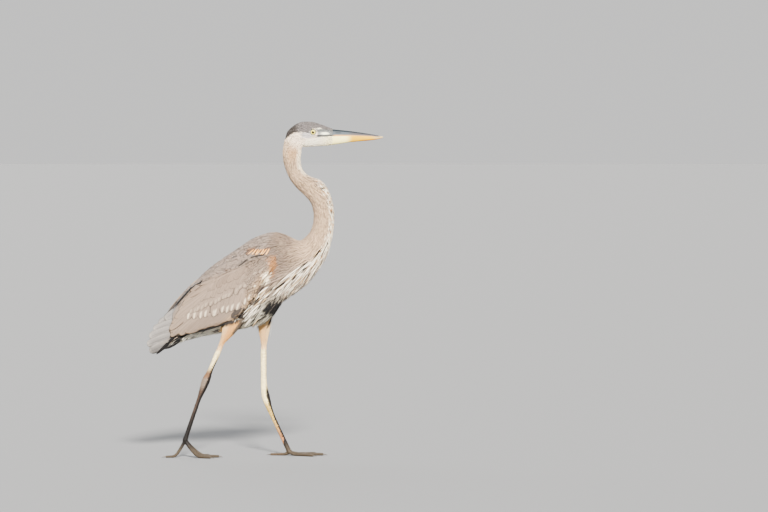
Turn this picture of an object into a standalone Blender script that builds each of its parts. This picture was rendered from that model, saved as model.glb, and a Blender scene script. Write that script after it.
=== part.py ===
"""A life-size great blue heron in its first year, stopped in mid stride.

The bird faces +X with its floor at Z = 0 and its own left side towards +Y.
Head, neck, trunk and tail are one run of oval rings, parted into sub-parts by
thin gaps. Wings, eyes and thighs are trimmed to that body with Booleans.
"""

import math

import bmesh
import bpy
from mathutils import Matrix, Vector

GAP = 0.0003            # left open between neighbouring sub-parts
FLOOR_CUT = 0.0006      # how far a round toe is flattened on the floor
BODY_SIDES = 20         # points around a ring of the body
LIMB_SIDES = 10         # points around a ring of a leg or toe
SOFTEN = 2              # rings drawn for each step of a body table
BODY_FULLNESS = 2.15    # 2 draws an ellipse, more a squarer ring
HEAD_FULLNESS = 2.1
TAIL_SLUNG = 0.35       # how much wider the tail is below than above

# Material colours (linear), roughness: one finish for each kind of surface.
FINISHES = {
    "slate_feather": ((0.20, 0.20, 0.21), 0.8),
    "grey_feather": ((0.33, 0.29, 0.26), 0.8),
    "buff_feather": ((0.52, 0.43, 0.35), 0.8),
    "tan_feather": ((0.60, 0.45, 0.32), 0.8),
    "leg_skin": ((0.30, 0.25, 0.15), 0.6),
    "dark_horn": ((0.10, 0.10, 0.11), 0.35),
    "yellow_horn": ((0.70, 0.47, 0.17), 0.35),
    "claw_horn": ((0.08, 0.07, 0.06), 0.4),
    "eye_yellow": ((0.75, 0.55, 0.08), 0.1),
}

# Rings of the body: back or top point (x, z), front or under point (x, z), half width.
HEAD = [
    ((0.0600, 0.9300), (0.0600, 0.9220), 0.0050),
    ((0.0640, 0.9410), (0.0640, 0.9120), 0.0120),
    ((0.0730, 0.9520), (0.0730, 0.9050), 0.0170),
    ((0.0860, 0.9625), (0.0860, 0.9010), 0.0205),
    ((0.1020, 0.9705), (0.1020, 0.8995), 0.0225),
    ((0.1210, 0.9735), (0.1210, 0.8990), 0.0232),
    ((0.1420, 0.9715), (0.1420, 0.9000), 0.0225),
    ((0.1610, 0.9655), (0.1610, 0.9015), 0.0200),
    ((0.1800, 0.9580), (0.1800, 0.9035), 0.0165),
    ((0.1980, 0.9505), (0.1980, 0.9055), 0.0135),
]
NECK_ROOT_IN_HEAD = ((0.0570, 0.9220), (0.1120, 0.9220), 0.0200)
UPPER_NECK = [
    ((0.0520, 0.8930), (0.1060, 0.8890), 0.0225),
    ((0.0520, 0.8680), (0.1035, 0.8680), 0.0220),
    ((0.0560, 0.8450), (0.1035, 0.8520), 0.0215),
    ((0.0645, 0.8220), (0.1070, 0.8380), 0.0215),
    ((0.0760, 0.7990), (0.1160, 0.8240), 0.0220),
    ((0.0900, 0.7820), (0.1330, 0.8125), 0.0235),
]
MIDDLE_NECK = [
    ((0.1040, 0.7680), (0.1550, 0.8060), 0.0250),
    ((0.1180, 0.7550), (0.1740, 0.7900), 0.0260),
    ((0.1300, 0.7420), (0.1865, 0.7680), 0.0265),
    ((0.1380, 0.7220), (0.1945, 0.7440), 0.0270),
    ((0.1410, 0.6980), (0.2000, 0.7130), 0.0275),
]
LOWER_NECK = [
    ((0.1390, 0.6760), (0.2005, 0.6850), 0.0280),
    ((0.1310, 0.6550), (0.1985, 0.6550), 0.0295),
    ((0.1200, 0.6410), (0.1935, 0.6260), 0.0315),
    ((0.1090, 0.6320), (0.1850, 0.6010), 0.0340),
]
TRUNK = [
    ((0.0990, 0.6280), (0.1715, 0.5735), 0.0375),
    ((0.0840, 0.6335), (0.1560, 0.5490), 0.0440),
    ((0.0660, 0.6430), (0.1385, 0.5240), 0.0510),
    ((0.0440, 0.6515), (0.1165, 0.4990), 0.0575),
    ((0.0180, 0.6530), (0.0840, 0.4755), 0.0625),
    ((-0.0110, 0.6450), (0.0520, 0.4500), 0.0655),
    ((-0.0420, 0.6310), (0.0240, 0.4080), 0.0665),
    ((-0.0760, 0.6085), (-0.0180, 0.3830), 0.0655),
    ((-0.1080, 0.5875), (-0.0620, 0.3720), 0.0630),
    ((-0.1400, 0.5655), (-0.1060, 0.3650), 0.0585),
    ((-0.1700, 0.5420), (-0.1460, 0.3555), 0.0520),
    ((-0.1970, 0.5150), (-0.1800, 0.3490), 0.0450),
    ((-0.2190, 0.4830), (-0.2100, 0.3420), 0.0390),
]
TAIL = [
    ((-0.2400, 0.4510), (-0.2360, 0.3340), 0.0345),
    ((-0.2620, 0.4280), (-0.2570, 0.3265), 0.0330),
    ((-0.2850, 0.4095), (-0.2760, 0.3185), 0.0325),
    ((-0.3060, 0.3890), (-0.2930, 0.3100), 0.0315),
    ((-0.3250, 0.3650), (-0.3120, 0.3000), 0.0290),
    ((-0.3370, 0.3440), (-0.3240, 0.2950), 0.0250),
    ((-0.3420, 0.3240), (-0.3330, 0.2990), 0.0190),
]
FOLDED_WINGS = [
    ((0.0600, 0.6500), (0.1280, 0.5000), 0.0600),
    ((0.0300, 0.6550), (0.0980, 0.4700), 0.0690),
    ((-0.0050, 0.6480), (0.0600, 0.4380), 0.0755),
    ((-0.0420, 0.6320), (0.0240, 0.4020), 0.0780),
    ((-0.0760, 0.6100), (-0.0180, 0.3780), 0.0780),
    ((-0.1080, 0.5890), (-0.0620, 0.3670), 0.0755),
    ((-0.1400, 0.5680), (-0.1060, 0.3590), 0.0710),
    ((-0.1710, 0.5450), (-0.1460, 0.3500), 0.0650),
    ((-0.2000, 0.5200), (-0.1800, 0.3430), 0.0585),
    ((-0.2250, 0.4920), (-0.2100, 0.3360), 0.0525),
    ((-0.2470, 0.4660), (-0.2360, 0.3290), 0.0470),
    ((-0.2660, 0.4380), (-0.2600, 0.3230), 0.0425),
    ((-0.2850, 0.4100), (-0.2800, 0.3200), 0.0400),
]
SIDE_OF_WING = [        # the folded wing seen from the side, wrist first (x, z)
    (0.0350, 0.5830), (0.0310, 0.5600), (0.0100, 0.5290), (-0.0090, 0.4990),
    (-0.0240, 0.4700), (-0.0440, 0.4460), (-0.0660, 0.4210), (-0.0900, 0.3960),
    (-0.1280, 0.3840), (-0.1590, 0.3765), (-0.1880, 0.3635), (-0.2170, 0.3575),
    (-0.2460, 0.3515), (-0.2720, 0.3490), (-0.2785, 0.3710), (-0.2700, 0.4050),
    (-0.2720, 0.4300), (-0.2500, 0.4800), (-0.2180, 0.5000), (-0.1950, 0.5000),
    (-0.1450, 0.5220), (-0.1070, 0.5420), (-0.0710, 0.5560), (-0.0400, 0.5740),
    (0.0000, 0.5850), (0.0200, 0.5890),
]
WING_SLAB_WIDTH = 0.2   # wider than half the bird, so that it cuts right through

BILL = [                # x, culmen z, mouth z, lower edge z, half width
    (0.1980, 0.9500, 0.9290, 0.9060, 0.0130),
    (0.2200, 0.9480, 0.9295, 0.9090, 0.0115),
    (0.2470, 0.9452, 0.9298, 0.9132, 0.0098),
    (0.2760, 0.9410, 0.9296, 0.9158, 0.0078),
    (0.3050, 0.9366, 0.9290, 0.9182, 0.0056),
    (0.3250, 0.9330, 0.9282, 0.9212, 0.0036),
    (0.3420, 0.9290, 0.9272, 0.9252, 0.0012),
]
BILL_SIDES = 8          # faces round each half of the bill
BILL_ROUNDING = 0.9     # 1 draws a half ellipse, less a fuller one

EYE_CENTRE = Vector((0.1400, 0.0160, 0.9420))
EYE_RADIUS = 0.0090
EYE_RINGS = 6

# Legs, hip to toe joint: centre (x, y, z), half depth, half width. The left leg
# carries the step, and the right one pushes off.
LEFT_LEG = {
    "thigh": [
        ((0.0040, 0.0340, 0.4400), 0.0300, 0.0240),
        ((-0.0010, 0.0350, 0.4050), 0.0240, 0.0210),
        ((-0.0035, 0.0360, 0.3800), 0.0195, 0.0180),
        ((-0.0045, 0.0370, 0.3600), 0.0170, 0.0155),
        ((-0.0040, 0.0380, 0.3400), 0.0122, 0.0118),
        ((-0.0045, 0.0385, 0.3200), 0.0090, 0.0088),
    ],
    "shin": [
        ((-0.0055, 0.0390, 0.3060), 0.0080, 0.0078),
        ((-0.0055, 0.0405, 0.2700), 0.0076, 0.0062),
        ((-0.0055, 0.0425, 0.2250), 0.0076, 0.0062),
        ((-0.0035, 0.0435, 0.1950), 0.0092, 0.0076),
    ],
    "tarsus": [
        ((0.0005, 0.0440, 0.1720), 0.0115, 0.0090),
        ((0.0080, 0.0430, 0.1460), 0.0092, 0.0074),
        ((0.0160, 0.0415, 0.1250), 0.0068, 0.0056),
        ((0.0240, 0.0395, 0.1070), 0.0059, 0.0048),
        ((0.0510, 0.0330, 0.0500), 0.0060, 0.0050),
    ],
    "foot": [
        ((0.0652, 0.0292, 0.0200), 0.0068, 0.0070),
        ((0.0700, 0.0280, 0.0098), 0.0072, 0.0082),
        ((0.0712, 0.0278, 0.0070), 0.0050, 0.0060),
    ],
}
RIGHT_LEG = {
    "thigh": [
        ((-0.0880, -0.0340, 0.4250), 0.0330, 0.0240),
        ((-0.0960, -0.0350, 0.3900), 0.0290, 0.0215),
        ((-0.1055, -0.0360, 0.3670), 0.0205, 0.0175),
        ((-0.1140, -0.0370, 0.3510), 0.0140, 0.0135),
        ((-0.1215, -0.0370, 0.3380), 0.0098, 0.0100),
    ],
    "shin": [
        ((-0.1280, -0.0375, 0.3230), 0.0077, 0.0078),
        ((-0.1440, -0.0380, 0.2850), 0.0070, 0.0062),
        ((-0.1558, -0.0380, 0.2580), 0.0066, 0.0060),
        ((-0.1635, -0.0380, 0.2395), 0.0092, 0.0076),
    ],
    "tarsus": [
        ((-0.1705, -0.0380, 0.2235), 0.0118, 0.0090),
        ((-0.1795, -0.0380, 0.1990), 0.0094, 0.0076),
        ((-0.1868, -0.0380, 0.1800), 0.0066, 0.0056),
        ((-0.1942, -0.0375, 0.1600), 0.0054, 0.0047),
        ((-0.2240, -0.0365, 0.0730), 0.0058, 0.0050),
    ],
    "foot": [
        ((-0.2280, -0.0350, 0.0605), 0.0066, 0.0068),
        ((-0.2315, -0.0345, 0.0495), 0.0074, 0.0082),
        ((-0.2325, -0.0345, 0.0460), 0.0054, 0.0062),
    ],
}

# Toes: turn from straight ahead (outwards positive), length to the claw, root radius.
TOES = {
    "middle": (1.0, 0.098, 0.0056),
    "outer": (26.0, 0.084, 0.0052),
    "inner": (-28.0, 0.078, 0.0052),
    "hind": (172.0, 0.056, 0.0046),
}
ROOT_LENGTH = 0.0240    # stretch of a front toe that stays with the foot
HIND_ROOT_LENGTH = 0.0150
ROOT_STEPS = 3
TOE_STEPS = 6
TOE_TIP_RATIO = 0.72    # tip radius of a toe against its root radius
RAISED_JOINT = 0.02     # height from which a toe joint counts as raised
REACH_DOWN = 0.62       # share of its length in which a raised toe comes down
LOW_REACH_DOWN = 0.3    # the same for a foot that stands flat
TOE_ARCH = 0.6          # how much a toe bows upwards on its way down
CLAW_LENGTH = 0.0125
CLAW_ROOT_RATIO = 0.62  # radius of a claw's root against its toe's tip
CLAW_TAPER = 0.82       # share of its radius that a claw loses by its point
CLAW_RISE = 0.0004      # claw root above the middle of the toe's tip
CLAW_CLEARANCE = 0.0002  # claw point above the floor
CLAW_STEPS = 4
CLAW_SIDES = 6
FLOOR_CENTRE = (-0.05, 0.0, -0.05)
FLOOR_SIZE = (0.8, 0.4, 0.1)


def principled(name, finish):
    """A material of its own for one sub-part."""
    colour, roughness = FINISHES[finish]
    material = bpy.data.materials.new(name + "_finish")
    material.use_nodes = True
    shader = material.node_tree.nodes["Principled BSDF"]
    shader.inputs["Base Color"].default_value = (*colour, 1.0)
    shader.inputs["Roughness"].default_value = roughness
    shader.inputs["Metallic"].default_value = 0.0
    material.diffuse_color = (*colour, 1.0)
    return material


def add_object(name, mesh_builder, finish):
    """Turn a bmesh into a smooth, closed object with outward normals."""
    bmesh.ops.recalc_face_normals(mesh_builder, faces=mesh_builder.faces)
    mesh = bpy.data.meshes.new(name)
    mesh_builder.to_mesh(mesh)
    mesh_builder.free()
    mesh.shade_smooth()
    created = bpy.data.objects.new(name, mesh)
    bpy.context.scene.collection.objects.link(created)
    if finish:
        mesh.materials.append(principled(name, finish))
    return created


def add_cutter(name, mesh_builder):
    """A tool for Booleans: drawn as a wire and never rendered."""
    cutter = add_object(name, mesh_builder, None)
    cutter.hide_render = True
    cutter.display_type = "WIRE"
    return cutter


def boolean(target, operation, cutter):
    modifier = target.modifiers.new(operation.lower() + "_" + cutter.name, "BOOLEAN")
    modifier.operation = operation
    modifier.solver = "EXACT"
    modifier.object = cutter


def eased(before, start, end, after, share):
    """A Catmull-Rom step between two rows, guided by the rows on either side."""
    if isinstance(start, tuple):
        parts = zip(before, start, end, after)
        return tuple(eased(*part, share) for part in parts)
    near = (end - before) / 2
    far = (after - start) / 2
    square = share * share
    cube = square * share
    return (
        start * (2 * cube - 3 * square + 1)
        + near * (cube - 2 * square + share)
        + end * (3 * square - 2 * cube)
        + far * (cube - square)
    )


def soften(rows, steps):
    """Rows with steps - 1 eased ones put in between each pair."""
    finer = []
    for index in range(len(rows) - 1):
        before = rows[max(index - 1, 0)]
        after = rows[min(index + 2, len(rows) - 1)]
        for step in range(steps):
            share = step / steps
            finer.append(eased(before, rows[index], rows[index + 1], after, share))
    finer.append(rows[-1])
    return finer


def oval_ring(row, sides, fullness=2.0, low_slung=0.0):
    """An oval between a back and a front point. low_slung moves its widest part down."""
    (back_x, back_z), (front_x, front_z), half_width = row
    back = Vector((back_x, 0.0, back_z))
    front = Vector((front_x, 0.0, front_z))
    centre = (back + front) / 2
    reach = (front - back) / 2
    power = 2.0 / fullness
    ring = []
    for side in range(sides):
        angle = 2 * math.pi * side / sides
        across = math.copysign(abs(math.cos(angle)) ** power, math.cos(angle))
        along = math.copysign(abs(math.sin(angle)) ** power, math.sin(angle))
        wide = half_width * across * (1 + low_slung * along)
        ring.append(centre + reach * along + Vector((0.0, wide, 0.0)))
    return ring


def limb_ring(centre, direction, half_depth, half_width, sides):
    """An oval across a limb that runs along direction, its width mostly along Y."""
    sideways = Vector((0.0, 1.0, 0.0))
    forward = sideways.cross(direction).normalized()
    sideways = direction.cross(forward).normalized()
    ring = []
    for side in range(sides):
        angle = 2 * math.pi * side / sides
        ring.append(
            centre
            + forward * half_depth * math.cos(angle)
            + sideways * half_width * math.sin(angle)
        )
    return ring


def middle(ring):
    return sum(ring, Vector()) / len(ring)


def drawn_back(rings, start, end):
    """Move the first and last ring inwards, along the run, to leave a gap."""
    first = (middle(rings[1]) - middle(rings[0])).normalized() * start
    last = (middle(rings[-2]) - middle(rings[-1])).normalized() * end
    moved = [list(ring) for ring in rings]
    moved[0] = [point + first for point in rings[0]]
    moved[-1] = [point + last for point in rings[-1]]
    return moved


def closed_loft(rings):
    """A closed tube through the rings, capped at both ends.

    It is split into triangles here, so that a piece and the swollen copy that
    cuts its neighbours bend along the same edges.
    """
    builder = bmesh.new()
    loops = [[builder.verts.new(point) for point in ring] for ring in rings]
    for near, far in zip(loops, loops[1:]):
        for side in range(len(near)):
            following = (side + 1) % len(near)
            builder.faces.new((near[side], near[following], far[following], far[side]))
    builder.faces.new(reversed(loops[0]))
    builder.faces.new(loops[-1])
    bmesh.ops.triangulate(builder, faces=builder.faces, quad_method="FIXED")
    bmesh.ops.recalc_face_normals(builder, faces=builder.faces)
    return builder


def grown(builder, amount):
    """Swell a closed shape, so that what it cuts keeps a gap."""
    builder.normal_update()
    for vertex in builder.verts:
        vertex.co += vertex.normal * amount * vertex.calc_shell_factor()
    return builder


def ball(centre, radius, rings):
    builder = bmesh.new()
    place = Matrix.Translation(centre) @ Matrix.Rotation(math.pi / 2, 4, "X")
    bmesh.ops.create_uvsphere(
        builder, u_segments=2 * rings, v_segments=rings, radius=radius, matrix=place
    )
    return builder


def body_run():
    """Every ring from inside the head to the tail tip, and where each length ends."""
    lengths = {
        "neck_upper": UPPER_NECK,
        "neck_middle": MIDDLE_NECK,
        "neck_lower": LOWER_NECK,
        "trunk": TRUNK,
        "tail": TAIL,
    }
    rows = [NECK_ROOT_IN_HEAD]
    spans = {}
    for name, table in lengths.items():
        first = len(rows)
        rows = rows + table
        spans[name] = (first * SOFTEN, (first + len(table)) * SOFTEN)
    softened = soften(rows, SOFTEN)
    last_name = "tail"
    spans[last_name] = (spans[last_name][0], len(softened) - 1)
    rings = []
    for index, row in enumerate(softened):
        in_tail = index > spans["trunk"][1]
        slung = TAIL_SLUNG if in_tail else 0.0
        rings.append(oval_ring(row, BODY_SIDES, BODY_FULLNESS, slung))
    return rings, spans


def build_body():
    rings, spans = body_run()
    finishes = {
        "neck_upper": "buff_feather",
        "neck_middle": "buff_feather",
        "neck_lower": "buff_feather",
        "trunk": "grey_feather",
        "tail": "slate_feather",
    }
    for name, (first, last) in spans.items():
        closes = 0.0 if name == "tail" else GAP / 2
        part_rings = drawn_back(rings[first:last + 1], GAP / 2, closes)
        add_object(name, closed_loft(part_rings), finishes[name])

    head_rings = [oval_ring(row, BODY_SIDES, HEAD_FULLNESS) for row in soften(HEAD, SOFTEN)]
    head = add_object("head", closed_loft(head_rings), "buff_feather")
    root_end = spans["neck_upper"][0]
    root_rings = drawn_back(rings[:root_end + 1], 0.0, GAP / 2)
    boolean(head, "UNION", add_cutter("cut_neck_root", closed_loft(root_rings)))
    for side, sign in (("left", 1), ("right", -1)):
        centre = Vector((EYE_CENTRE.x, sign * EYE_CENTRE.y, EYE_CENTRE.z))
        add_object("eye_" + side, ball(centre, EYE_RADIUS, EYE_RINGS), "eye_yellow")
        socket = add_cutter("cut_socket_" + side, ball(centre, EYE_RADIUS + 2 * GAP, EYE_RINGS))
        boolean(head, "DIFFERENCE", socket)

    trunk_first = spans["trunk"][0]
    tail_last = spans["tail"][1]
    return add_cutter("cut_body", grown(closed_loft(rings[trunk_first:tail_last + 1]), GAP))


def wing_slab(sign, spread):
    """A block with the side outline of the wing, from the midline outwards."""
    builder = bmesh.new()
    centre_x = sum(x for x, z in SIDE_OF_WING) / len(SIDE_OF_WING)
    centre_z = sum(z for x, z in SIDE_OF_WING) / len(SIDE_OF_WING)
    outline = []
    for x, z in SIDE_OF_WING:
        outwards = Vector((x - centre_x, 0.0, z - centre_z)).normalized()
        outline.append(builder.verts.new(Vector((x, 0.0, z)) + outwards * spread))
    face = builder.faces.new(outline)
    swept = bmesh.ops.extrude_face_region(builder, geom=[face])
    new_points = [item for item in swept["geom"] if isinstance(item, bmesh.types.BMVert)]
    bmesh.ops.translate(builder, verts=new_points, vec=(0.0, sign * WING_SLAB_WIDTH, 0.0))
    shift = sign * (GAP / 2 - spread)
    bmesh.ops.translate(builder, verts=builder.verts, vec=(0.0, shift, 0.0))
    bmesh.ops.recalc_face_normals(builder, faces=builder.faces)
    return builder


def build_wings(swollen_body):
    """Each wing is the outer shell of a wider body, inside the wing's side outline."""
    rings = [oval_ring(row, BODY_SIDES, BODY_FULLNESS) for row in soften(FOLDED_WINGS, SOFTEN)]
    swollen_wings = []
    for side, sign in (("left", 1), ("right", -1)):
        wing = add_object("wing_" + side, closed_loft(rings), "grey_feather")
        slab = add_cutter("cut_wing_slab_" + side, wing_slab(sign, 0.0))
        boolean(wing, "INTERSECT", slab)
        boolean(wing, "DIFFERENCE", swollen_body)
        swollen = add_cutter("cut_wing_" + side, grown(closed_loft(rings), GAP))
        wider_slab = add_cutter("cut_wide_slab_" + side, wing_slab(sign, 2 * GAP))
        boolean(swollen, "INTERSECT", wider_slab)
        swollen_wings.append(swollen)
    return swollen_wings


def build_bill():
    """Two halves with flat faces that meet along the mouth."""
    rows = soften(BILL, SOFTEN)
    for name, finish, upper in (
        ("bill_upper", "dark_horn", True),
        ("bill_lower", "yellow_horn", False),
    ):
        rings = []
        for x, culmen, mouth, under, half_width in rows:
            level = mouth + GAP / 2 if upper else mouth - GAP / 2
            rise = culmen - level if upper else under - level
            ring = []
            for side in range(BILL_SIDES + 1):
                angle = math.pi * side / BILL_SIDES
                height = rise * math.sin(angle) ** BILL_ROUNDING
                ring.append(Vector((x, half_width * math.cos(angle), level + height)))
            rings.append(ring)
        rings = drawn_back(rings, GAP, 0.0)
        add_object(name, closed_loft(rings), finish)


def limb_run(leg):
    """Every ring of one leg, eased, with where each length starts and ends."""
    rows = []
    spans = {}
    for name, table in leg.items():
        first = len(rows)
        rows = rows + table
        spans[name] = (first * SOFTEN, (first + len(table)) * SOFTEN)
    softened = soften(rows, SOFTEN)
    spans["foot"] = (spans["foot"][0], len(softened) - 1)
    centres = [Vector(row[0]) for row in softened]
    rings = []
    for index, row in enumerate(softened):
        before = centres[max(index - 1, 0)]
        after = centres[min(index + 1, len(centres) - 1)]
        direction = (after - before).normalized()
        rings.append(limb_ring(centres[index], direction, row[1], row[2], LIMB_SIDES))
    return rings, spans


def toe_height(distance, length, start, radius):
    """How high the toe's middle runs: down from its joint, then flat on the floor."""
    rest = radius - FLOOR_CUT
    landing = length * (REACH_DOWN if start > RAISED_JOINT else LOW_REACH_DOWN)
    if distance >= landing:
        return rest
    share = distance / landing
    return rest + (start - rest) * (1 - share) ** 2 * (1 + TOE_ARCH * share)


def toe_rings(joint, sign, toe, first, last, count):
    """Rings of one toe between two distances from its joint."""
    turn, length, root_radius = toe
    heading = math.radians(turn) * sign
    ahead = Vector((math.cos(heading), math.sin(heading), 0.0))

    def spine(distance):
        radius = root_radius * (1 - (1 - TOE_TIP_RATIO) * distance / length)
        height = toe_height(distance, length, joint.z, radius)
        point = Vector((joint.x, joint.y, 0.0)) + ahead * distance
        point.z = height
        return point, radius

    rings = []
    sideways = Vector((-ahead.y, ahead.x, 0.0))
    for index in range(count + 1):
        distance = first + (last - first) * index / count
        point, radius = spine(distance)
        onward = spine(distance + 0.001)[0] - spine(distance - 0.001)[0]
        upward = onward.cross(sideways).normalized()
        ring = []
        for side in range(LIMB_SIDES):
            angle = 2 * math.pi * side / LIMB_SIDES
            ring.append(point + sideways * radius * math.cos(angle)
                        + upward * radius * math.sin(angle))
        rings.append(ring)
    return rings


def claw_rings(joint, sign, toe):
    """A claw curves forwards and down from the toe's tip, almost to the floor."""
    turn, length, root_radius = toe
    heading = math.radians(turn) * sign
    ahead = Vector((math.cos(heading), math.sin(heading), 0.0))
    sideways = Vector((-ahead.y, ahead.x, 0.0))
    base_radius = root_radius * TOE_TIP_RATIO * CLAW_ROOT_RATIO
    base_height = root_radius * TOE_TIP_RATIO - FLOOR_CUT + CLAW_RISE
    start = Vector((joint.x, joint.y, 0.0)) + ahead * (length + GAP)
    rings = []
    for step in range(CLAW_STEPS + 1):
        share = step / CLAW_STEPS
        radius = base_radius * (1 - CLAW_TAPER * share)
        height = base_height * (1 - share ** 2) + (radius + CLAW_CLEARANCE) * share ** 2
        point = start + ahead * CLAW_LENGTH * share + Vector((0.0, 0.0, height))
        ring = []
        for side in range(CLAW_SIDES):
            angle = 2 * math.pi * side / CLAW_SIDES
            ring.append(point + sideways * radius * math.cos(angle)
                        + Vector((0.0, 0.0, radius * math.sin(angle))))
        rings.append(ring)
    return rings


def floor_block():
    builder = bmesh.new()
    place = Matrix.Translation(FLOOR_CENTRE) @ Matrix.Diagonal((*FLOOR_SIZE, 1.0))
    bmesh.ops.create_cube(builder, size=1.0, matrix=place)
    return builder


def build_legs(thigh_cutters):
    floor = add_cutter("cut_floor", floor_block())
    for side, sign, leg in (("left", 1, LEFT_LEG), ("right", -1, RIGHT_LEG)):
        rings, spans = limb_run(leg)
        pieces = {}
        for name, (first, last) in spans.items():
            finish = "tan_feather" if name == "thigh" else "leg_skin"
            opens = 0.0 if name == "thigh" else GAP / 2
            closes = 0.0 if name == "foot" else GAP / 2
            part_rings = drawn_back(rings[first:last + 1], opens, closes)
            builder = closed_loft(part_rings)
            pieces[name] = add_object(name + "_" + side, builder, finish)
        for cutter in thigh_cutters:
            boolean(pieces["thigh"], "DIFFERENCE", cutter)

        joint = Vector(leg["foot"][-2][0])
        for toe_name, toe in TOES.items():
            root = HIND_ROOT_LENGTH if toe_name == "hind" else ROOT_LENGTH
            full_name = "toe_" + toe_name + "_" + side
            root_rings = toe_rings(joint, sign, toe, 0.0, root, ROOT_STEPS)
            root_rings = drawn_back(root_rings, 0.0, GAP / 2)
            stub = add_cutter("cut_root_of_" + full_name, closed_loft(root_rings))
            boolean(pieces["foot"], "UNION", stub)
            rings_of_toe = toe_rings(joint, sign, toe, root, toe[1], TOE_STEPS)
            rings_of_toe = drawn_back(rings_of_toe, GAP / 2, 0.0)
            toe_piece = add_object(full_name, closed_loft(rings_of_toe), "leg_skin")
            boolean(toe_piece, "DIFFERENCE", floor)
            claw = closed_loft(claw_rings(joint, sign, toe))
            add_object("claw_" + toe_name + "_" + side, claw, "claw_horn")
        boolean(pieces["foot"], "DIFFERENCE", floor)


for old in list(bpy.data.objects):
    bpy.data.objects.remove(old, do_unlink=True)

body_cutter = build_body()
wing_cutters = build_wings(body_cutter)
build_bill()
build_legs([body_cutter] + wing_cutters)
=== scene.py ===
"""A young great blue heron, life size, in mid stride on a pale studio floor.

One skin stands for every feathered or scaly sub-part of the frame. Feathers are
thin closed vanes laid over it from arrays, tract by tract, from bill to tail.
"""

import math

import bmesh
import bpy
import numpy as np
from mathutils import Matrix, Vector
from mathutils.bvhtree import BVHTree


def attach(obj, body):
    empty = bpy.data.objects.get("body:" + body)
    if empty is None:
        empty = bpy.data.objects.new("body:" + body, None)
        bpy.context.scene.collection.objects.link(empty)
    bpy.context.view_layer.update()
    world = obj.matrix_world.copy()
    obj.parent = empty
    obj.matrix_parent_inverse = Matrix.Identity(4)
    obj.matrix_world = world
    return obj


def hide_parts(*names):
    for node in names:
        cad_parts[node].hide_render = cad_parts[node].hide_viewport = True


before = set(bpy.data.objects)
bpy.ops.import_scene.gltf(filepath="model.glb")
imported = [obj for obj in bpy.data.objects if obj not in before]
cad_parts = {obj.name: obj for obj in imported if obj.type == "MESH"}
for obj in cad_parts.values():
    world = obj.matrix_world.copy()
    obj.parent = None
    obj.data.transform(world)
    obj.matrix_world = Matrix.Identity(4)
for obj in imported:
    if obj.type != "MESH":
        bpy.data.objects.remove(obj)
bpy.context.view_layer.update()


# ---- Studio ------------------------------------------------------------------
# A long lens looks at the bird's right side from a little above level, with the
# bird on the left of the frame. The floor is a pale matt disc.

VIEW_WIDTH = 2.227
CAMERA_DISTANCE = 12.0
CAMERA_RISE = math.radians(2.5)
AIM = Vector((0.345, 0.0, 0.583))
FLOOR_RADIUS = 40.0
FLOOR_GREY = (0.1370, 0.1400, 0.1436, 1.0)
SKY_WHITE = (0.99, 0.985, 0.975, 1.0)
SKY_STRENGTH = 0.88
LAMPS = {               # watts per square metre, softness in degrees, heading, colour
    "key": (22.0, 10.0, (-0.16, 1.0, -0.64), (1.0, 0.955, 0.89)),
    "fill": (3.2, 50.0, (0.40, -0.8, -0.55), (0.94, 0.97, 1.0)),
}


def place_object(name, data):
    made = bpy.data.objects.new(name, data)
    bpy.context.scene.collection.objects.link(made)
    return made


def finish_mesh(builder, name):
    """Turn a bmesh into a mesh and let the bmesh go."""
    mesh = bpy.data.meshes.new(name)
    builder.to_mesh(mesh)
    builder.free()
    return mesh


def set_inputs(node, values):
    for entry, value in values.items():
        node.inputs[entry].default_value = value
    return node


def new_material(name, values):
    """A Principled material with these input values, its tree and its shader."""
    material = bpy.data.materials.new(name)
    material.use_nodes = True
    tree = material.node_tree
    return material, tree, set_inputs(tree.nodes["Principled BSDF"], values)


camera_data = bpy.data.cameras.new("camera")
camera_data.sensor_width = 36.0
camera_data.lens = camera_data.sensor_width * CAMERA_DISTANCE / VIEW_WIDTH
camera_data.clip_end = 200.0
camera = place_object("camera", camera_data)
back_off = Vector((0.0, -math.cos(CAMERA_RISE), math.sin(CAMERA_RISE)))
camera.location = AIM + back_off * CAMERA_DISTANCE
camera.rotation_euler = (math.pi / 2 - CAMERA_RISE, 0.0, 0.0)
bpy.context.scene.camera = camera

disc = bmesh.new()
bmesh.ops.create_circle(disc, cap_ends=True, segments=96, radius=FLOOR_RADIUS)
floor = place_object("floor", finish_mesh(disc, "floor"))
floor_paint, _, _ = new_material("floor_paint", {"Base Color": FLOOR_GREY, "Roughness": 0.9})
floor.data.materials.append(floor_paint)

world = bpy.data.worlds.new("studio")
world.use_nodes = True
set_inputs(world.node_tree.nodes["Background"], {"Color": SKY_WHITE, "Strength": SKY_STRENGTH})
bpy.context.scene.world = world

for name, (strength, softness, heading, colour) in LAMPS.items():
    lamp_data = bpy.data.lights.new(name, "SUN")
    lamp_data.energy = strength
    lamp_data.angle = math.radians(softness)
    lamp_data.color = colour
    lamp = place_object(name, lamp_data)
    lamp.rotation_euler = Vector(heading).to_track_quat("-Z", "Y").to_euler()


# ---- Skin --------------------------------------------------------------------
# One closed skin over head, neck, trunk, tail, wings and legs of a first-year bird.
# It lies under the outer form by the depth of the coat, carries the markings of the
# plumage, and is bare on the shins and feet.

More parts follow.
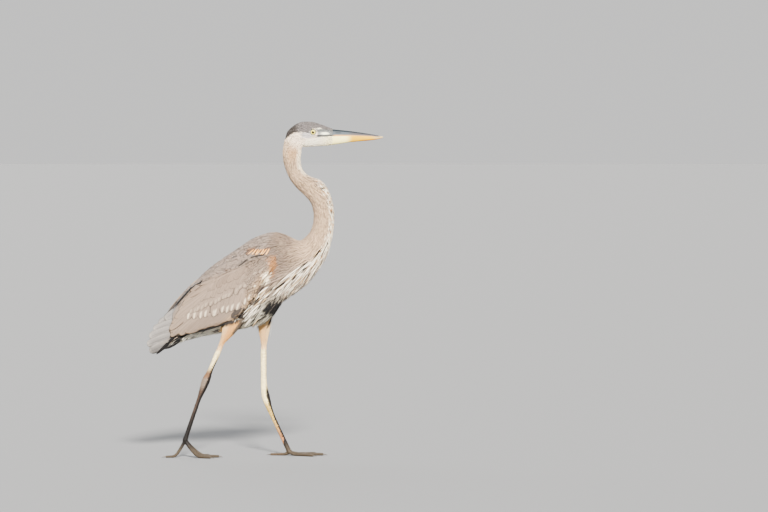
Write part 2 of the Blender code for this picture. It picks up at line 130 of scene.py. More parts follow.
FEATHERED_NODES = [
    "head", "neck_upper", "neck_middle", "neck_lower", "trunk", "tail",
    "wing_left", "wing_right", "thigh_left", "thigh_right",
]
BARE_NODES = [
    limb + "_" + side
    for side in ("left", "right")
    for limb in ("shin", "tarsus", "foot", "toe_middle", "toe_outer", "toe_inner", "toe_hind")
]
SKIN_VOXEL = 0.0018
SEAM_OVERLAP = 0.0004   # each copy swells by this, so that the thin cuts close
KEPT_SHARE = 0.38       # of the remeshed skin's faces
BARE_BELOW = 0.312      # height of the top of the bare leg
FEATHER_SMOOTHING = 0.82    # how much more the feathered skin is smoothed than the bare
THIGH_COAT = 0.0028
COAT_DEPTHS = (         # of the skin under the tips of the feathers, along the bird
    ("bill root", 0.0006), ("eye", 0.0014), ("nape", 0.0026), ("kink", 0.0028),
    ("neck base", 0.0034), ("back", 0.0036), ("tail root", 0.0040), ("tail tip", 0.0055),
)
RICHNESS = 1.25         # keeps the colours lively under a bright key light
MID_TONE = 0.55         # dark and middle tones are this much deeper than the card

# a line down the middle of the bird, bill to tail: name, x, z, half depth
SPINE = (
    ("bill root", 0.198, 0.928, 0.022), ("eye", 0.140, 0.936, 0.036),
    ("ear", 0.097, 0.934, 0.034), ("nape", 0.079, 0.906, 0.029),
    ("upper neck", 0.078, 0.868, 0.026), ("throat", 0.0805, 0.838, 0.025),
    ("above kink", 0.096, 0.812, 0.029), ("kink", 0.1295, 0.787, 0.032),
    ("below kink", 0.158, 0.755, 0.031), ("mid neck", 0.1705, 0.7055, 0.030),
    ("low neck", 0.1685, 0.668, 0.032), ("neck base", 0.152, 0.627, 0.041),
    ("breast", 0.125, 0.596, 0.054), ("shoulder", 0.082, 0.576, 0.082),
    ("back", 0.020, 0.548, 0.105), ("mid trunk", -0.047, 0.496, 0.115),
    ("flank", -0.105, 0.472, 0.105), ("rump", -0.160, 0.448, 0.094),
    ("tail root", -0.2145, 0.4125, 0.072), ("mid tail", -0.280, 0.364, 0.047),
    ("tail tip", -0.338, 0.312, 0.028),
)
# outlines seen from the side, as x and z
WING_TOP = (
    (-0.279, 0.390), (-0.260, 0.430), (-0.238, 0.462), (-0.213, 0.492), (-0.170, 0.516),
    (-0.107, 0.547), (-0.040, 0.576), (0.000, 0.590), (0.036, 0.592),
)
WING_FOOT = (
    (-0.279, 0.355), (-0.252, 0.3495), (-0.196, 0.365), (-0.163, 0.376), (-0.127, 0.385),
    (-0.091, 0.398), (-0.057, 0.426), (-0.030, 0.455), (-0.018, 0.495), (-0.003, 0.515),
    (0.020, 0.545), (0.036, 0.575),
)
WING_FRONT = 0.036
WING_REAR = -0.279
WING_INSIDE = 0.022     # the wings lie further out than this on either side
CAP_EDGE = (            # lower edge of the slate cap, from nape to bill
    (0.052, 0.919), (0.060, 0.926), (0.068, 0.9325), (0.078, 0.9375), (0.088, 0.9400),
    (0.100, 0.9405), (0.128, 0.9410), (0.134, 0.9460), (0.140, 0.9515), (0.150, 0.9525),
    (0.168, 0.9500), (0.185, 0.9470), (0.200, 0.9445),
)
GAPE = (                # line of the mouth, carried back from the bill under the eye
    (0.112, 0.9150), (0.125, 0.9215), (0.160, 0.9275), (0.198, 0.9305),
)
# the legs, as z and the x of their middle, or z and the radius
LEFT_LEG = ((0.050, 0.051), (0.107, 0.024), (0.172, 0.0), (0.240, -0.005))
RIGHT_LEG = ((0.060, -0.227), (0.160, -0.194), (0.2235, -0.170), (0.323, -0.128))
LEG_RADIUS = ((0.05, 0.0058), (0.16, 0.0100))
LEFT_ANKLE = 0.172
RIGHT_ANKLE = 0.222
THIGH_OUT = 0.036       # how far each thigh stands off the middle of the bird

SPOTS = {               # oval marks: x, z, their radii, and how soft the rim is
    "belly patch": (0.037, 0.440, 0.024, 0.030, 0.20),
    "breast patch": (0.050, 0.453, 0.014, 0.014, 0.20),
    "flank": (-0.064, 0.418, 0.022, 0.017, 0.20),
    "flank over wing": (-0.064, 0.419, 0.019, 0.014, 0.20),
    "undertail": (-0.252, 0.353, 0.034, 0.010, 0.35),
    "wrist rust": (0.034, 0.563, 0.014, 0.027, 0.50),
    "wrist white": (0.015, 0.531, 0.014, 0.016, 0.35),
    "shoulder rust": (0.000, 0.611, 0.030, 0.008, 0.35),
    "cheek": (0.128, 0.934, 0.018, 0.010, 0.35),
    "lore": (0.1735, 0.9385, 0.0115, 0.0032, 0.35),
    "behind the eye": (0.129, 0.9405, 0.006, 0.0016, 0.35),
    "brow": (0.160, 0.9515, 0.0065, 0.0016, 0.35),
}


def shade(red, green, blue):
    """A linear colour from the 0 to 255 numbers of a paint card."""
    card = np.array((red, green, blue)) / 255.0
    linear = np.where(card <= 0.04045, card / 12.92, ((card + 0.055) / 1.055) ** 2.4)
    grey = linear.mean()
    depth = MID_TONE + (1 - MID_TONE) * grey ** 1.5
    return np.clip((grey + (linear - grey) * RICHNESS) * depth, 0.0, 1.0)


SLATE_CAP = shade(127, 121, 119)
DARK_NAPE = shade(72, 66, 62)
CHEEK_CREAM = shade(254, 236, 214)
CHEEK_GREY = shade(212, 206, 204)
CHIN_WHITE = shade(255, 247, 226)
CHIN_CREAM = shade(255, 244, 196)
LORE_GREY = shade(134, 136, 134)
LORE_PALE = shade(240, 240, 214)
LORE_DARK = shade(70, 70, 68)
THROAT_CREAM = shade(255, 240, 212)
NECK_BUFF = shade(211, 184, 156)
HIND_NECK = shade(190, 166, 144)
FORE_NECK = shade(242, 224, 202)
RUFOUS = shade(214, 164, 116)
SHOULDER_GREY = shade(138, 121, 108)
SHOULDER_RUST = shade(120, 84, 60)
BACK_GREY = shade(139, 126, 117)
WING_GREY = shade(150, 134, 121)
WING_BUFF = shade(176, 151, 124)
WING_REAR_GREY = shade(130, 120, 112)
WRIST_RUST = shade(182, 128, 84)
WRIST_WHITE = shade(255, 240, 214)
BREAST_BUFF = shade(203, 184, 165)
BELLY_WHITE = shade(206, 200, 184)
BELLY_BLACK = shade(14, 12, 12)
# dark slate of flank, streak and primary feathers, also used as painted shade under the wing
# and above the thighs
SLATE_AND_SHADE = shade(66, 60, 56)
UNDERTAIL_PALE = shade(244, 240, 226)
TAIL_SLATE = shade(136, 132, 129)
CINNAMON = shade(234, 178, 122)
THIGH_CREAM = shade(254, 224, 178)
# painted shade for the front edge of the near thigh
THIGH_FRONT_SHADE = shade(112, 98, 84)
SHIN_CREAM = shade(250, 232, 182)
SHIN_SHADE = shade(206, 180, 140)
ANKLE_GREY = shade(128, 114, 102)
ANKLE_RUST = shade(120, 90, 68)
TARSUS_OLIVE = shade(206, 176, 112)
TARSUS_ROSE = shade(184, 132, 96)
TARSUS_BROWN = shade(72, 56, 46)
LEG_BLACK = shade(20, 15, 13)
TOE_BROWN = shade(78, 68, 56)

spine_points = np.array([row[1:3] for row in SPINE])
spine_depths = np.array([row[3] for row in SPINE])
spine_steps = np.diff(spine_points, axis=0)
spine_lengths = np.linalg.norm(spine_steps, axis=1)
spine_starts = np.concatenate(([0.0], np.cumsum(spine_lengths)))
STATION = {row[0]: spine_starts[index] for index, row in enumerate(SPINE)}


def unit(vectors):
    return vectors / np.maximum(np.linalg.norm(vectors, axis=-1, keepdims=True), 1e-9)


def blend(first, second, share):
    """The first at share 0, the second at share 1."""
    return first * (1 - share) + second * share


def soft(value, start, end):
    """0 before start, 1 after end, and an eased step between them."""
    share = np.clip((value - start) / (end - start), 0.0, 1.0)
    return share * share * (3 - 2 * share)


def past(along, station, start, end):
    """0 before a station of the spine and 1 after it, eased from start to end about it."""
    return soft(along, STATION[station] + start, STATION[station] + end)


def line_at(place, marks):
    """Where a line given as (place, value) marks runs at each place."""
    return np.interp(place, *zip(*marks))


def within(x, z, middle_x, middle_z, radius_x, radius_z, fade=0.35):
    """1 inside an oval, fading to 0 past its rim."""
    reach = np.hypot((x - middle_x) / radius_x, (z - middle_z) / radius_z)
    return 1 - soft(reach, 1 - fade, 1 + fade)


def along_bird(points):
    """For each point: distance from the bill root, side (back -1, front or belly 1),
    and the direction towards the tail."""
    flat = points[:, (0, 2)]
    best = np.full(len(flat), 1e9)
    along = np.zeros(len(flat))
    side = np.zeros(len(flat))
    heading = np.zeros((len(flat), 3))
    for index, step in enumerate(spine_steps):
        length = spine_lengths[index]
        ahead = step / length
        offset = flat - spine_points[index]
        share = np.clip(offset @ ahead / length, 0.0, 1.0)
        depth = blend(spine_depths[index], spine_depths[index + 1], share)
        away = offset - share[:, None] * step
        reach = np.linalg.norm(away, axis=1) / depth
        front = np.array((-ahead[1], ahead[0]))
        closer = reach < best
        best[closer] = reach[closer]
        along[closer] = spine_starts[index] + share[closer] * length
        side[closer] = (away @ front / depth)[closer]
        heading[closer] = (ahead[0], 0.0, ahead[1])
    return along, side, heading


def on_wing(points):
    """True within the side outline of the folded wing."""
    x, y, z = points.T
    inside = (z > line_at(x, WING_FOOT)) & (z < line_at(x, WING_TOP))
    return inside & (x < WING_FRONT) & (x > WING_REAR) & (np.abs(y) > WING_INSIDE)


def right_lean(z):
    """How far the right thigh has leant back on its way down."""
    return (0.380 - z) * 0.45


def on_thigh(points):
    """True on the feathered part of the legs below the body."""
    x, y, z = points.T
    out = np.abs(y) - THIGH_OUT
    left = (np.hypot(x + 0.003, out) < 0.034) & (z < 0.392 + 0.3 * x)
    right = (np.hypot(x + 0.096 + right_lean(z), out) < 0.031) & (z < 0.402)
    return np.where(y > 0, left, right)


def bare_leg(points):
    """1 on the bare shins and feet, 0 on feathered skin."""
    in_tail = soft(-points[:, 0], 0.20, 0.21) * soft(points[:, 2], 0.28, 0.29)
    return (1 - soft(points[:, 2], BARE_BELOW - 0.012, BARE_BELOW + 0.010)) * (1 - in_tail)


def coat_depth(points):
    """How far the skin lies under the tips of the feathers."""
    marks = [(STATION[station], depth) for station, depth in COAT_DEPTHS]
    depth = line_at(along_bird(points)[0], marks)
    by_thigh = soft(0.385 - points[:, 2], 0.0, 0.02) * soft(points[:, 0], -0.16, -0.14)
    return blend(depth, THIGH_COAT, by_thigh) * (1 - bare_leg(points))


def painter(points, ground):
    """Colours for the points, all of the ground tone, and what paints over them."""
    colour = np.tile(ground, (len(points), 1))

    def paint(mask, tone):
        colour[:] = blend(colour, tone, np.clip(mask, 0.0, 1.0)[:, None])

    return colour, paint


def markings(points):
    """The plumage colour at each point of the bird, apart from its bare legs."""
    x, y, z = points.T
    wide = np.abs(y)
    outer = soft(wide, 0.02, 0.03)
    outermost = soft(wide, 0.02, 0.04)
    along, side, _ = along_bird(points)
    colour, paint = painter(points, NECK_BUFF)

    def stretch(first, second, fade):
        return past(along, first, -fade, fade) * (1 - past(along, second, -fade, fade))

    def spot(name):
        return within(x, z, *SPOTS[name])

    # neck, back, breast and belly
    throat = stretch("nape", "above kink", 0.02)
    paint(stretch("upper neck", "shoulder", 0.02) * soft(-side, 0.1, 0.9), HIND_NECK)
    paint(stretch("nape", "breast", 0.02) * soft(side, 0.35, 0.85), FORE_NECK)
    paint(throat * soft(side, 0.42, 0.75) * 0.9, THROAT_CREAM)
    paint(soft(along, STATION["neck base"], STATION["shoulder"] + 0.02), SHOULDER_GREY)
    paint(throat * within(side, 0, 0.05, 0, 0.45, 1) * soft(z, 0.855, 0.885) * 0.35, RUFOUS)
    paint(stretch("neck base", "back", 0.03) * soft(side, 0.0, 0.9), BREAST_BUFF)
    paint(soft(along, STATION["shoulder"], STATION["back"]) * soft(-side, -0.2, 0.5), BACK_GREY)
    paint(soft(along, STATION["shoulder"] + 0.02, STATION["mid trunk"]) * soft(side, 0.35, 0.8),
          BELLY_WHITE)
    paint(soft(along, STATION["flank"] - 0.01, STATION["rump"] + 0.01) * soft(side, 0.3, 0.9),
          UNDERTAIL_PALE)
    paint(soft(-x, 0.232, 0.262) * soft(-side, -0.9, 0.0), TAIL_SLATE)
    paint(spot("belly patch"), BELLY_BLACK)
    paint(spot("breast patch"), BELLY_BLACK)
    # painted shadow line where the belly's lower edge overhangs the far thigh's top
    paint(within(x, z - 0.6 * x, -0.006, 0.410, 0.017, 0.005) * (wide < 0.05), SLATE_AND_SHADE)
    top = line_at(x, WING_TOP)
    foot = line_at(x, WING_FOOT)
    # painted shade: a dark band on the breast just under the wing's lower front edge
    paint(soft(foot - z, 0.002, 0.007) * (1 - soft(foot - z, 0.014, 0.024)) * outer * 0.85 *
          soft(x, -0.074, -0.066) * (1 - soft(x, -0.014, -0.004)), SLATE_AND_SHADE)
    # the flank in the gap under the wing's lower front edge: partly dark slate feathers, partly
    # painted shade
    paint(spot("flank") * outermost, SLATE_AND_SHADE)
    paint(soft(-x, 0.258, 0.270) * soft(side, 0.35, 0.65), BELLY_BLACK)
    paint(spot("undertail"), BELLY_BLACK)

    # folded wing
    wing = on_wing(points).astype(float)
    drop = (top - z) / np.maximum(top - foot, 0.01)
    paint(wing, WING_GREY)
    paint(wing * (1 - soft(drop, 0.05, 0.35)) * soft(x, -0.20, -0.10) * 0.8, SHOULDER_GREY)
    paint(wing * soft(drop, 0.80, 1.0) * 0.6, WING_BUFF)
    paint(wing * soft(-x, 0.190, 0.260) * 0.6, WING_REAR_GREY)
    # the same flank patch over the wing's lower edge: partly dark slate feathers, partly
    # painted shade
    paint(spot("flank over wing") * outermost, SLATE_AND_SHADE)
    paint(wing * soft(drop, 0.45, 0.9) * soft(x, -0.08, -0.04) * 0.8, WING_BUFF)
    paint(spot("wrist rust") * outer * 0.75, WRIST_RUST)
    paint(spot("wrist white") * outer, WRIST_WHITE)
    paint(spot("shoulder rust") * outer * 0.8, SHOULDER_RUST)

    # head
    in_head = 1 - soft(along, STATION["ear"] + 0.005, STATION["nape"] + 0.012)
    over_gape = z - line_at(x, GAPE)
    paint(in_head, CHEEK_CREAM)
    paint(in_head * spot("cheek"), CHEEK_GREY)
    paint(in_head * soft(x, 0.146, 0.156) * soft(over_gape, -0.0006, 0.0008), LORE_GREY)
    paint(in_head * spot("lore"), LORE_PALE)
    paint(in_head * soft(x, 0.152, 0.158) * within(0, z, 0, 0.9322, 1, 0.0014), LORE_DARK)
    chin = in_head * soft(x, 0.100, 0.124) * soft(-over_gape, -0.0006, 0.0008)
    paint(chin, CHIN_WHITE)
    paint(chin * soft(x, 0.150, 0.196) * 0.8, CHIN_CREAM)
    cap = soft(z - line_at(x, CAP_EDGE), -0.0020, 0.0020) * (
        1 - past(along, "nape", -0.004, 0.018))
    paint(cap, SLATE_CAP)
    paint(cap * soft(0.106 - x, 0.0, 0.013), DARK_NAPE)
    paint(spot("behind the eye"), LORE_DARK)
    paint(spot("brow"), CHIN_WHITE)

    # thighs: the near one warm along its middle, with painted shade at its top and down its
    # front
    thigh = soft(z, 0.27, 0.28) * soft(wide, 0.010, 0.016) * on_thigh(points)
    near = thigh * (y < 0)
    warm = np.where(y > 0, 0.60 * (0.30 + 0.70 * (1 - soft(x, -0.004, 0.012))),
                    0.30 + 0.70 * soft(x + right_lean(z), -0.118, -0.096))
    paint(thigh, THIGH_CREAM)
    paint(thigh * warm * soft(z, 0.300, 0.345), CINNAMON)
    # painted shadow line along the near thigh's top, under the body's edge
    paint(near * soft(z - 0.30 * x, 0.417, 0.423), SLATE_AND_SHADE)
    # painted shade down the near thigh's front edge
    paint(near * soft(x - 0.64 * (z - 0.376), -0.089, -0.083) * soft(z, 0.358, 0.368),
          THIGH_FRONT_SHADE)
    return colour


def leg_colours(points):
    """Bare skin: cream shins, dark down the front of the ankles and tarsi."""
    x, y, z = points.T
    left = y > 0
    ankle = np.where(left, LEFT_ANKLE, RIGHT_ANKLE)
    middle = np.where(left, line_at(z, LEFT_LEG), line_at(z, RIGHT_LEG))
    ahead = (x - middle) / line_at(z, LEG_RADIUS)
    near = (~left).astype(float)
    below = 1 - soft(z, ankle - 0.030, ankle - 0.008)
    low = 1 - soft(z, 0.170, 0.205)
    fore = soft(ahead, 0.05 - 0.40 * low, 0.45 - 0.30 * low)
    at_heel = 1 - soft(np.abs(z - ankle), 0.014, 0.030)
    colour, paint = painter(points, SHIN_CREAM)
    paint(soft(ahead, 0.1, 0.8) * 0.7, SHIN_SHADE)
    paint(near * (1 - soft(z, ankle + 0.024, ankle + 0.054)), ANKLE_RUST)
    paint(near * (1 - soft(z, ankle + 0.004, ankle + 0.018)), ANKLE_GREY)
    paint(below * left, TARSUS_OLIVE)
    paint(left * (1 - soft(z, 0.050, 0.120)), TARSUS_ROSE)
    paint(near * below, TARSUS_BROWN)
    paint(near * (1 - soft(z, 0.090, 0.160)), LEG_BLACK)
    paint(near * fore * (1 - soft(z, ankle + 0.030, ankle + 0.060)), LEG_BLACK)
    paint(near * soft(ahead, 0.22, 0.50) * (1 - soft(z, 0.275, 0.300)), LEG_BLACK)
    paint(left * soft(ahead, 0.02 + 0.06 * at_heel, 0.34 + 0.06 * at_heel) *
          (1 - soft(z, ankle + 0.016, ankle + 0.042)), LEG_BLACK)
    paint((1 - soft(z, 0.016, 0.045)) * 0.95, TOE_BROWN)
    return colour


def modified(thing):
    """The mesh that an object's modifiers make of it. The object itself goes."""
    graph = bpy.context.evaluated_depsgraph_get()
    mesh = bpy.data.meshes.new_from_object(thing.evaluated_get(graph))
    bpy.data.objects.remove(thing)
    return mesh


def vertex_array(mesh, kind="co"):
    return np.array([getattr(vertex, kind) for vertex in mesh.vertices])


def drop_loose(mesh):
    """Drop every loose bit but the biggest, such as bubbles inside the seams."""
    edges = np.empty(len(mesh.edges) * 2, dtype=np.int64)
    mesh.edges.foreach_get("vertices", edges)
    edges = edges.reshape(-1, 2)
    label = np.arange(len(mesh.vertices))
    while True:
        lowest = label.copy()
        np.minimum.at(lowest, edges[:, 0], label[edges[:, 1]])
        np.minimum.at(lowest, edges[:, 1], label[edges[:, 0]])
        lowest = lowest[lowest]
        if np.array_equal(lowest, label):
            break
        label = lowest
    names, counts = np.unique(label, return_counts=True)
    keep = label == names[counts.argmax()]
    trimmed = bmesh.new()
    trimmed.from_mesh(mesh)
    loose = [vertex for vertex in trimmed.verts if not keep[vertex.index]]
    bmesh.ops.delete(trimmed, geom=loose, context="VERTS")
    trimmed.to_mesh(mesh)
    trimmed.free()


def welded_node(node):
    """A bmesh copy of a node of the frame, with its doubled corners joined."""
    copy = bmesh.new()
    copy.from_mesh(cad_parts[node].data)
    bmesh.ops.remove_doubles(copy, verts=copy.verts, dist=1e-6)
    return copy


def set_tint(mesh, colours):
    """Give each vertex the colour that the materials read as tint."""
    flat = colours.reshape(-1, 3)
    tint = mesh.color_attributes.new("tint", "FLOAT_COLOR", "POINT")
    tint.data.foreach_set("color", np.hstack((flat, np.ones((len(flat), 1)))).ravel())


def add_node(tree, kind, values=None, **settings):
    made = tree.nodes.new("ShaderNode" + kind)
    for key, value in settings.items():
        setattr(made, key, value)
    return set_inputs(made, values or {})


def wire(tree, *links):
    """Link sockets, each link given as source, output, target and input."""
    for source, output, target, entry in links:
        tree.links.new(source.outputs[output], target.inputs[entry])


def add_bump(tree, shader, source, output, strength, distance):
    bump = add_node(tree, "Bump", {"Strength": strength, "Distance": distance})
    wire(tree, (source, output, bump, "Height"), (bump, "Normal", shader, "Normal"))


def tinted_material(name, values, noise_values, darkest, lightest):
    """The mesh's tint, darkened and lightened by noise. Returns its parts as well."""
    material, tree, shader = new_material(name, values)
    tint = add_node(tree, "Attribute", attribute_name="tint")
    place = add_node(tree, "TexCoord")
    noise = add_node(tree, "TexNoise", noise_values)
    spread = add_node(tree, "MapRange", {"To Min": darkest, "To Max": lightest})
    tinted = add_node(tree, "VectorMath", operation="SCALE")
    wire(tree, (place, "Object", noise, "Vector"), (noise, "Fac", spread, "Value"),
         (tint, "Color", tinted, 0), (spread, "Result", tinted, "Scale"),
         (tinted, "Vector", shader, "Base Color"))
    return material, tree, shader, place, noise


def add_piece(name, mesh, material, slot, *nodes):
    """Put a finished mesh in the scene, riding the bird's one body."""
    mesh.materials.clear()
    mesh.materials.append(material)
    mesh.shade_smooth()
    piece = place_object(name, mesh)
    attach(piece, "root")
    if nodes:
        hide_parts(*nodes)


joined = bmesh.new()
for node in FEATHERED_NODES + BARE_NODES:
    copy = welded_node(node)
    copy.normal_update()
    for vertex in copy.verts:
        vertex.co += vertex.normal * SEAM_OVERLAP
    scratch = finish_mesh(copy, "scratch")
    joined.from_mesh(scratch)
    bpy.data.meshes.remove(scratch)
flesh = place_object("flesh", finish_mesh(joined, "flesh"))
remesh = flesh.modifiers.new("one_skin", "REMESH")
remesh.mode = "VOXEL"
remesh.voxel_size = SKIN_VOXEL
whole = modified(flesh)
drop_loose(whole)

form = place_object("form", whole)
feathered = form.vertex_groups.new(name="feathered")
for index, bare in enumerate(bare_leg(vertex_array(whole))):
    feathered.add([index], float(1 - FEATHER_SMOOTHING * bare), "REPLACE")
smoothing = form.modifiers.new("soften", "SMOOTH")
smoothing.factor = 0.5
smoothing.iterations = 10
smoothing.vertex_group = "feathered"
form.modifiers.new("thin", "DECIMATE").ratio = KEPT_SHARE
skin_mesh = modified(form)
skin_mesh.name = "skin"

positions = vertex_array(skin_mesh)
positions -= vertex_array(skin_mesh, "normal") * coat_depth(positions)[:, None]
skin_mesh.vertices.foreach_set("co", positions.ravel())
skin_mesh.update()
set_tint(skin_mesh, blend(markings(positions), leg_colours(positions),
                          bare_leg(positions)[:, None]))
skin_material, tree, shader, place, _ = tinted_material(
    "skin", {"Roughness": 0.65, "Specular IOR Level": 0.20}, {"Scale": 90.0, "Detail": 3.0},
    0.72, 1.18)
creases = add_node(tree, "TexVoronoi", {"Scale": 420.0}, feature="DISTANCE_TO_EDGE")
wire(tree, (place, "Object", creases, "Vector"))
add_bump(tree, shader, creases, "Distance", 0.5, 0.0006)
add_piece("skin", skin_mesh, skin_material, "buff_feather", *FEATHERED_NODES, *BARE_NODES)

skin_tree = BVHTree.FromPolygons(
    [tuple(point) for point in positions],
    [tuple(face.vertices) for face in skin_mesh.polygons],
)
skin_mesh.calc_loop_triangles()
skin_triangles = np.array([triangle.vertices for triangle in skin_mesh.loop_triangles])
skin_corners = positions[skin_triangles]
skin_areas = np.linalg.norm(
    np.cross(skin_corners[:, 1] - skin_corners[:, 0], skin_corners[:, 2] - skin_corners[:, 0]),
    axis=1,
) / 2
skin_normals = vertex_array(skin_mesh, "normal")


# ---- Head and neck feathers ----------------------------------------------------
# Very short and close on the face, longer on the cap and nape, and fine and almost
# hair-like down the neck, with dark, white and rusty streaks on its front. Each one is
# a thin closed vane that starts at the skin, follows it and rises towards its tip.

EYE = Vector((0.1400, 0.0160, 0.9420))
EYE_OPENING = 0.0068
TUFT_PATCH = 0.003      # width of each feather's patch on the unwrapped skin

# shapes of feathers: steps along the vane, and half width at each step
SMALL_STEPS = np.array((0.0, 0.30, 0.62, 0.86, 1.0))
ROUNDED = (SMALL_STEPS, np.array((0.45, 0.85, 1.0, 0.78, 0.22)))
POINTED = (SMALL_STEPS, np.array((0.50, 1.0, 0.82, 0.42, 0.05)))


def scatter(wanted, spacing, seed):
    """Points of the skin and their facings, none much closer than spacing.

    They are as dense as wanted(points) says, from 0 to 1.
    """
    random = np.random.default_rng(seed)
    weight = skin_areas * np.clip(wanted(skin_corners.mean(axis=1)), 0.0, 1.0)
    total = weight.sum()
    tries = int(total / spacing ** 2 * 3.2)
    chosen = random.choice(len(weight), size=tries, p=weight / total)
    a = random.random((tries, 1))
    b = random.random((tries, 1))
    over = (a + b) > 1
    a = np.where(over, 1 - a, a)
    b = np.where(over, 1 - b, b)
    corners = skin_corners[chosen]
    points = corners[:, 0] * (1 - a - b) + corners[:, 1] * a + corners[:, 2] * b
    bends = skin_normals[skin_triangles[chosen]]
    facing = unit(bends[:, 0] * (1 - a - b) + bends[:, 1] * a + bends[:, 2] * b)
    nearest = spacing * spacing * 0.72
    around = [(i, j, k) for i in (-1, 0, 1) for j in (-1, 0, 1) for k in (-1, 0, 1)]
    places = np.floor(points / spacing).astype(int).tolist()
    cells = {}
    kept = []
    for index, (spot, (i, j, k)) in enumerate(zip(points.tolist(), places)):
        px, py, pz = spot
        crowded = any(
            (px - qx) ** 2 + (py - qy) ** 2 + (pz - qz) ** 2 < nearest
            for di, dj, dk in around
            for qx, qy, qz in cells.get((i + di, j + dj, k + dk), ())
        )
        if not crowded:
            cells.setdefault((i, j, k), []).append(spot)
            kept.append(index)
    return points[kept], facing[kept]


def lay(roots, facing, heading, lengths, lift, marks, hold=0.010):
    """Walk each feather over the skin. Returns its middle line, facing and direction.

    lift is (root, tip) height over the skin. A step that would leave the skin by
    more than hold goes straight on instead, as a stiff vane does past an edge.
    """
    middle, upward, onward = np.empty((3, len(roots), len(marks), 3))
    root_lift, tip_lift = lift
    for index in range(len(roots)):
        spot = Vector(roots[index])
        normal = Vector(facing[index])
        ahead = Vector(heading[index])
        ahead = (ahead - normal * ahead.dot(normal)).normalized()
        before = 0.0
        for step, mark in enumerate(marks):
            reach = (mark - before) * lengths[index]
            before = mark
            spot = spot + ahead * reach
            if reach > 0:
                touch, touch_normal, _, distance = skin_tree.find_nearest(spot)
                if distance < hold:
                    spot = touch
                    normal = (normal * 0.35 + touch_normal * 0.65).normalized()
                    ahead = (ahead - normal * ahead.dot(normal)).normalized()
            height = root_lift + (tip_lift - root_lift) * mark
            middle[index, step] = spot + normal * height
            upward[index, step] = normal
            onward[index, step] = ahead
    return middle, upward, onward


def unwrap(points):
    """Where a point lies on the skin laid out flat: along the bird, and around it."""
    along, side, _ = along_bird(points)
    depth = np.interp(along, spine_starts, spine_depths)
    turn = np.arctan2(points[:, 1], side * depth) / (2 * math.pi) + 0.5
    on_leg = (points[:, 2] < 0.37) & (np.abs(points[:, 1]) > 0.012) & (points[:, 0] > -0.20)
    leg_across = np.where(points[:, 1] > 0, 0.86, 0.93) + points[:, 0] * 0.2
    return np.stack((
        0.01 + 0.98 * np.where(on_leg, points[:, 2] / 0.4, along / spine_starts[-1]),
        np.where(on_leg, leg_across, 0.02 + 0.78 * turn),
    ), axis=1)


def vane_object(name, middle, upward, onward, half_widths, ridge, round_over, colours,
                material, slot):
    """Join closed vanes into one piece, each with a ridged top and a flat underside.

    middle, upward and onward are (feather, step, 3), half_widths (feather, step),
    ridge the thickness at the shaft, round_over the radius that the edges bend to,
    and colours (feather, step, across, 3).
    """
    count, steps, across, _ = colours.shape
    spread = np.linspace(-1.0, 1.0, across)
    side = unit(np.cross(onward, upward))
    fall = half_widths ** 2 / (2 * round_over)
    height = ridge * (1 - spread ** 2) - fall[:, :, None] * spread ** 2
    points = (
        middle[:, :, None, :]
        + side[:, :, None, :] * (half_widths[:, :, None] * spread)[..., None]
        + upward[:, :, None, :] * height[..., None]
    )
    corner = np.arange(steps * across).reshape(steps, across)
    faces = []
    for here, after in zip(corner, corner[1:]):
        for part in range(across - 1):
            faces.append((here[part], here[part + 1], after[part + 1], after[part]))
        faces.append((here[0], after[0], after[-1], here[-1]))
    faces += [corner[0, ::-1], corner[-1]]
    loops = steps * across * np.arange(count)[:, None] + np.concatenate(faces)
    loops = loops.ravel()
    sizes = np.tile([len(face) for face in faces], count)

    mesh = bpy.data.meshes.new(name)
    mesh.vertices.add(count * steps * across)
    mesh.vertices.foreach_set("co", points.ravel())
    mesh.loops.add(len(loops))
    mesh.loops.foreach_set("vertex_index", loops)
    mesh.polygons.add(len(sizes))
    mesh.polygons.foreach_set("loop_start", np.cumsum(sizes) - sizes)
    mesh.update(calc_edges=True)
    set_tint(mesh, np.clip(colours, 0.0, 1.0))
    vane = np.stack((
        np.tile((spread + 1) / 2, (count, steps, 1)),
        np.tile(np.linspace(0, 1, steps)[None, :, None], (count, 1, across)),
    ), axis=-1)
    patch = unwrap(middle[:, 0])[:, None, None, :] + (vane - 0.5) * TUFT_PATCH
    for layer, spots in (("vane", vane), ("OFBake", patch)):
        uv = mesh.uv_layers.new(name=layer)
        uv.data.foreach_set("uv", spots.reshape(-1, 2)[loops].ravel())
    add_piece(name, mesh, material, slot)


